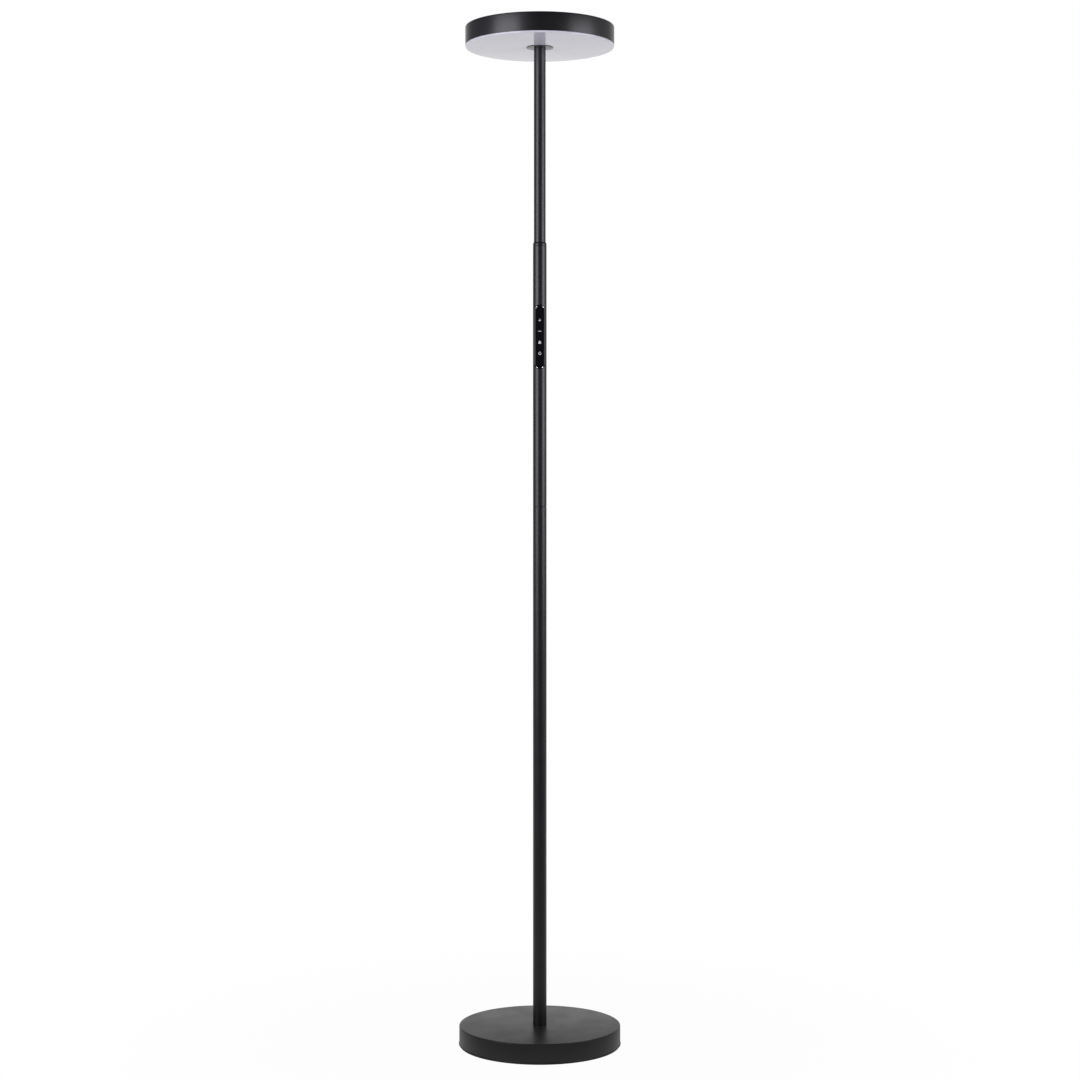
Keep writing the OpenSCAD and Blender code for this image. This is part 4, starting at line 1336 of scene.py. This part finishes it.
def small_screw(length, foot=None):
    """Round-headed screw whose head rests at height 0. Foot adds a nut of that radius at its far end."""
    screw = turned("screw", [
        (0, -length),
        (small_shank, -length, 0.2 * MM),
        (small_shank, 0),
        (SMALL_HEAD, 0, 0.15 * MM),
        (SMALL_HEAD, SMALL_HEAD_HEIGHT, SMALL_HEAD_HEIGHT * HEAD_ROUNDING),
        (0, SMALL_HEAD_HEIGHT),
    ], SCREW_SIDES)
    if foot:
        carve(screw, cylinder("nut", foot, -length, foot * NUT_HEIGHT - length, NUT_SIDES), "UNION")
    cut_cross(screw, SMALL_HEAD_HEIGHT, SMALL_HEAD * RECESS_REACH, SMALL_HEAD_HEIGHT * RECESS_DEPTH)
    return taken(screw)


carrier_screw = small_screw(CARRIER_SCREW_LENGTH)
carrier_place = (CARRIER_SCREWS, carrier_screw_circle, 0.0, carrier_top)
stands_for(round_circle("round_head_screws", carrier_screw, *carrier_place), "carrier_screws")

# %% Screws through the light boards
LIGHT_SCREWS = 4
LIGHT_SCREWS_START = math.radians(45)

board_top = measured("upper_light_board")[2]
board_stack = board_top - measured("lower_light_board")[1]
light_screw_circle = (measured("light_board_screws")[0] - SMALL_HEAD) * math.sqrt(2)
light_screw = small_screw(board_stack + SMALL_HEAD_HEIGHT, foot=SMALL_HEAD)
light_place = (LIGHT_SCREWS, light_screw_circle, LIGHT_SCREWS_START, board_top)
stands_for(round_circle("light_board_bolts", light_screw, *light_place), "light_board_screws")

# %% Countersunk screws in the bottom plate
PLATE_SCREWS = 3
PLATE_SCREW = 2 * MM
PLATE_SCREW_HEAD = 3.6 * MM
PLATE_RECESS = 0.9 * MM
BOSS_CIRCLE = 95 * MM
BOSS_START = math.radians(30)

screws_bottom, screws_top = measured("plate_screws")[1:]
plate_low, plate_high = measured("base_plate")[1:]
plate_shank = PLATE_SCREW - THREAD_CLEARANCE
countersunk = turned("screw", [
    (0, 0),
    (PLATE_SCREW_HEAD, 0, 0.1 * MM),
    (plate_shank, plate_high - plate_low),
    (plate_shank, screws_top - screws_bottom, 0.3 * MM),
    (0, screws_top - screws_bottom),
], SCREW_SIDES)
cut_cross(countersunk, 0, PLATE_SCREW_HEAD * RECESS_DEPTH, PLATE_RECESS)
plate_place = (PLATE_SCREWS, BOSS_CIRCLE, BOSS_START, screws_bottom)
stands_for(round_circle("plate_bolts", taken(countersunk), *plate_place), "plate_screws")

# %% [markdown]
# A light chip is a low white package with a sunken window. The window's faces carry the attribute that the
# chip's finish reads. One board holds two circles of chips, the other is the same board turned over.

# %% Light chips
CHIP_ACROSS = 2.8 * MM
CHIP_ALONG = 3.5 * MM
CHIP_HEIGHT = 0.8 * MM
CHIP_EDGE = 0.1 * MM
WINDOW_DEPTH = 0.15 * MM
CHIP_CIRCLES = ((50 * MM, 18), (90 * MM, 30))


def chip_mesh():
    levels = (
        (0, 0),
        (0, CHIP_HEIGHT - CHIP_EDGE),
        (CHIP_EDGE, CHIP_HEIGHT),
        (0.35 * MM, CHIP_HEIGHT),
        (0.5 * MM, CHIP_HEIGHT - WINDOW_DEPTH),
    )
    outlines = []
    for inset, height in levels:
        outlines.append((rectangle(spread(CHIP_ACROSS / 2 - inset), spread(CHIP_ALONG / 2 - inset)), height))
    chip = taken(stacked("chip", outlines))
    mask = chip.attributes.new(WINDOW, "FLOAT", "FACE")
    window_height = CHIP_HEIGHT - WINDOW_DEPTH
    for number, chip_face in enumerate(chip.polygons):
        low = all(abs(chip.vertices[i].co.z - window_height) < SAME_POINT for i in chip_face.vertices)
        mask.data[number].value = 1.0 if low else 0.0
    return chip


def chip_circles(name, height, flip):
    circles = []
    for circle, count in CHIP_CIRCLES:
        circles.append(round_circle("chips", chip_mesh(), count, circle, math.pi / count, 0.0, "light_chip"))
    turn = Matrix.Rotation(math.pi, 4, "X") if flip else Matrix.Identity(4)
    return moved(joined(name, circles), Matrix.Translation((0, 0, height)) @ turn)


stands_for(chip_circles("upper_chips", measured("upper_light_chips")[1], False), "upper_light_chips")
stands_for(chip_circles("lower_chips", measured("lower_light_chips")[2], True), "lower_light_chips")

# %% [markdown]
# Behind each symbol a coil spring carries the touch from the face to the board. The tree draws a spiral,
# sweeps a round wire along it and repeats it at each key.

# %% Tree for the springs
STEPS_IN_A_TURN = 20
WIRE_SIDES = 10


def make_spring_tree():
    lengths = dict.fromkeys(("Turns", "Coil radius", "Wire radius", "Length"), "Float")
    inputs = {**lengths, "Count": "Int", "Pitch": "Float"}
    tree, given, output = new_geometry_tree("springs_in_a_row", inputs)
    spiral = output_of(
        tree,
        "GeometryNodeCurveSpiral",
        Resolution=STEPS_IN_A_TURN,
        Rotations=given["Turns"],
        Start_Radius=given["Coil radius"],
        End_Radius=given["Coil radius"],
        Height=given["Length"],
    )
    wire_shape = {"Resolution": WIRE_SIDES, "Radius": given["Wire radius"]}
    section = output_of(tree, "GeometryNodeCurvePrimitiveCircle", **wire_shape)
    coil = output_of(tree, "GeometryNodeCurveToMesh", Curve=spiral, Profile_Curve=section, Fill_Caps=True)
    step = output_of(tree, "ShaderNodeCombineXYZ", Y=given["Pitch"])
    row = output_of(tree, "GeometryNodeMeshLine", Count=given["Count"], Offset=step)
    placed = output_of(tree, "GeometryNodeInstanceOnPoints", Points=row, Instance=coil)
    end_tree(tree, placed, given["Finish"], output)
    return tree


spring_tree = make_spring_tree()
print("spring tree has", len(spring_tree.nodes), "nodes")

# %% Touch springs
SPRING_RADIUS = 2.2 * MM
SPRING_WIRE = 0.25 * MM
SPRING_TURNS = 4.0
SPRING_PLAY = 0.1 * MM

spring_start = FRAME_BACK + SPRING_WIRE + SPRING_PLAY
springs = grown(
    "coil_springs",
    spring_tree,
    Turns=SPRING_TURNS,
    Coil_radius=SPRING_RADIUS,
    Wire_radius=SPRING_WIRE,
    Length=face_back - SPRING_WIRE - SPRING_PLAY - spring_start,
    Count=KEYS,
    Pitch=-KEY_PITCH,
    Finish=finishes["spring_steel"],
)
moved(springs, to_panel @ Matrix.Translation((0, key_places[0], spring_start)))
stands_for(springs, "touch_springs")

# %% [markdown]
# ## Finish
# The size of the dressed lamp is worked out beside the imported one's, and the number of new pieces and the
# lamp's new size are printed.

# %% Measure the sizes and finish
new_low, new_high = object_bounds()
sizes = {"cad": [list(cad_low), list(cad_high)], "visual": [list(new_low), list(new_high)]}
print("made", len(made), "pieces; size", [round(edge, 4) for edge in new_high - new_low])
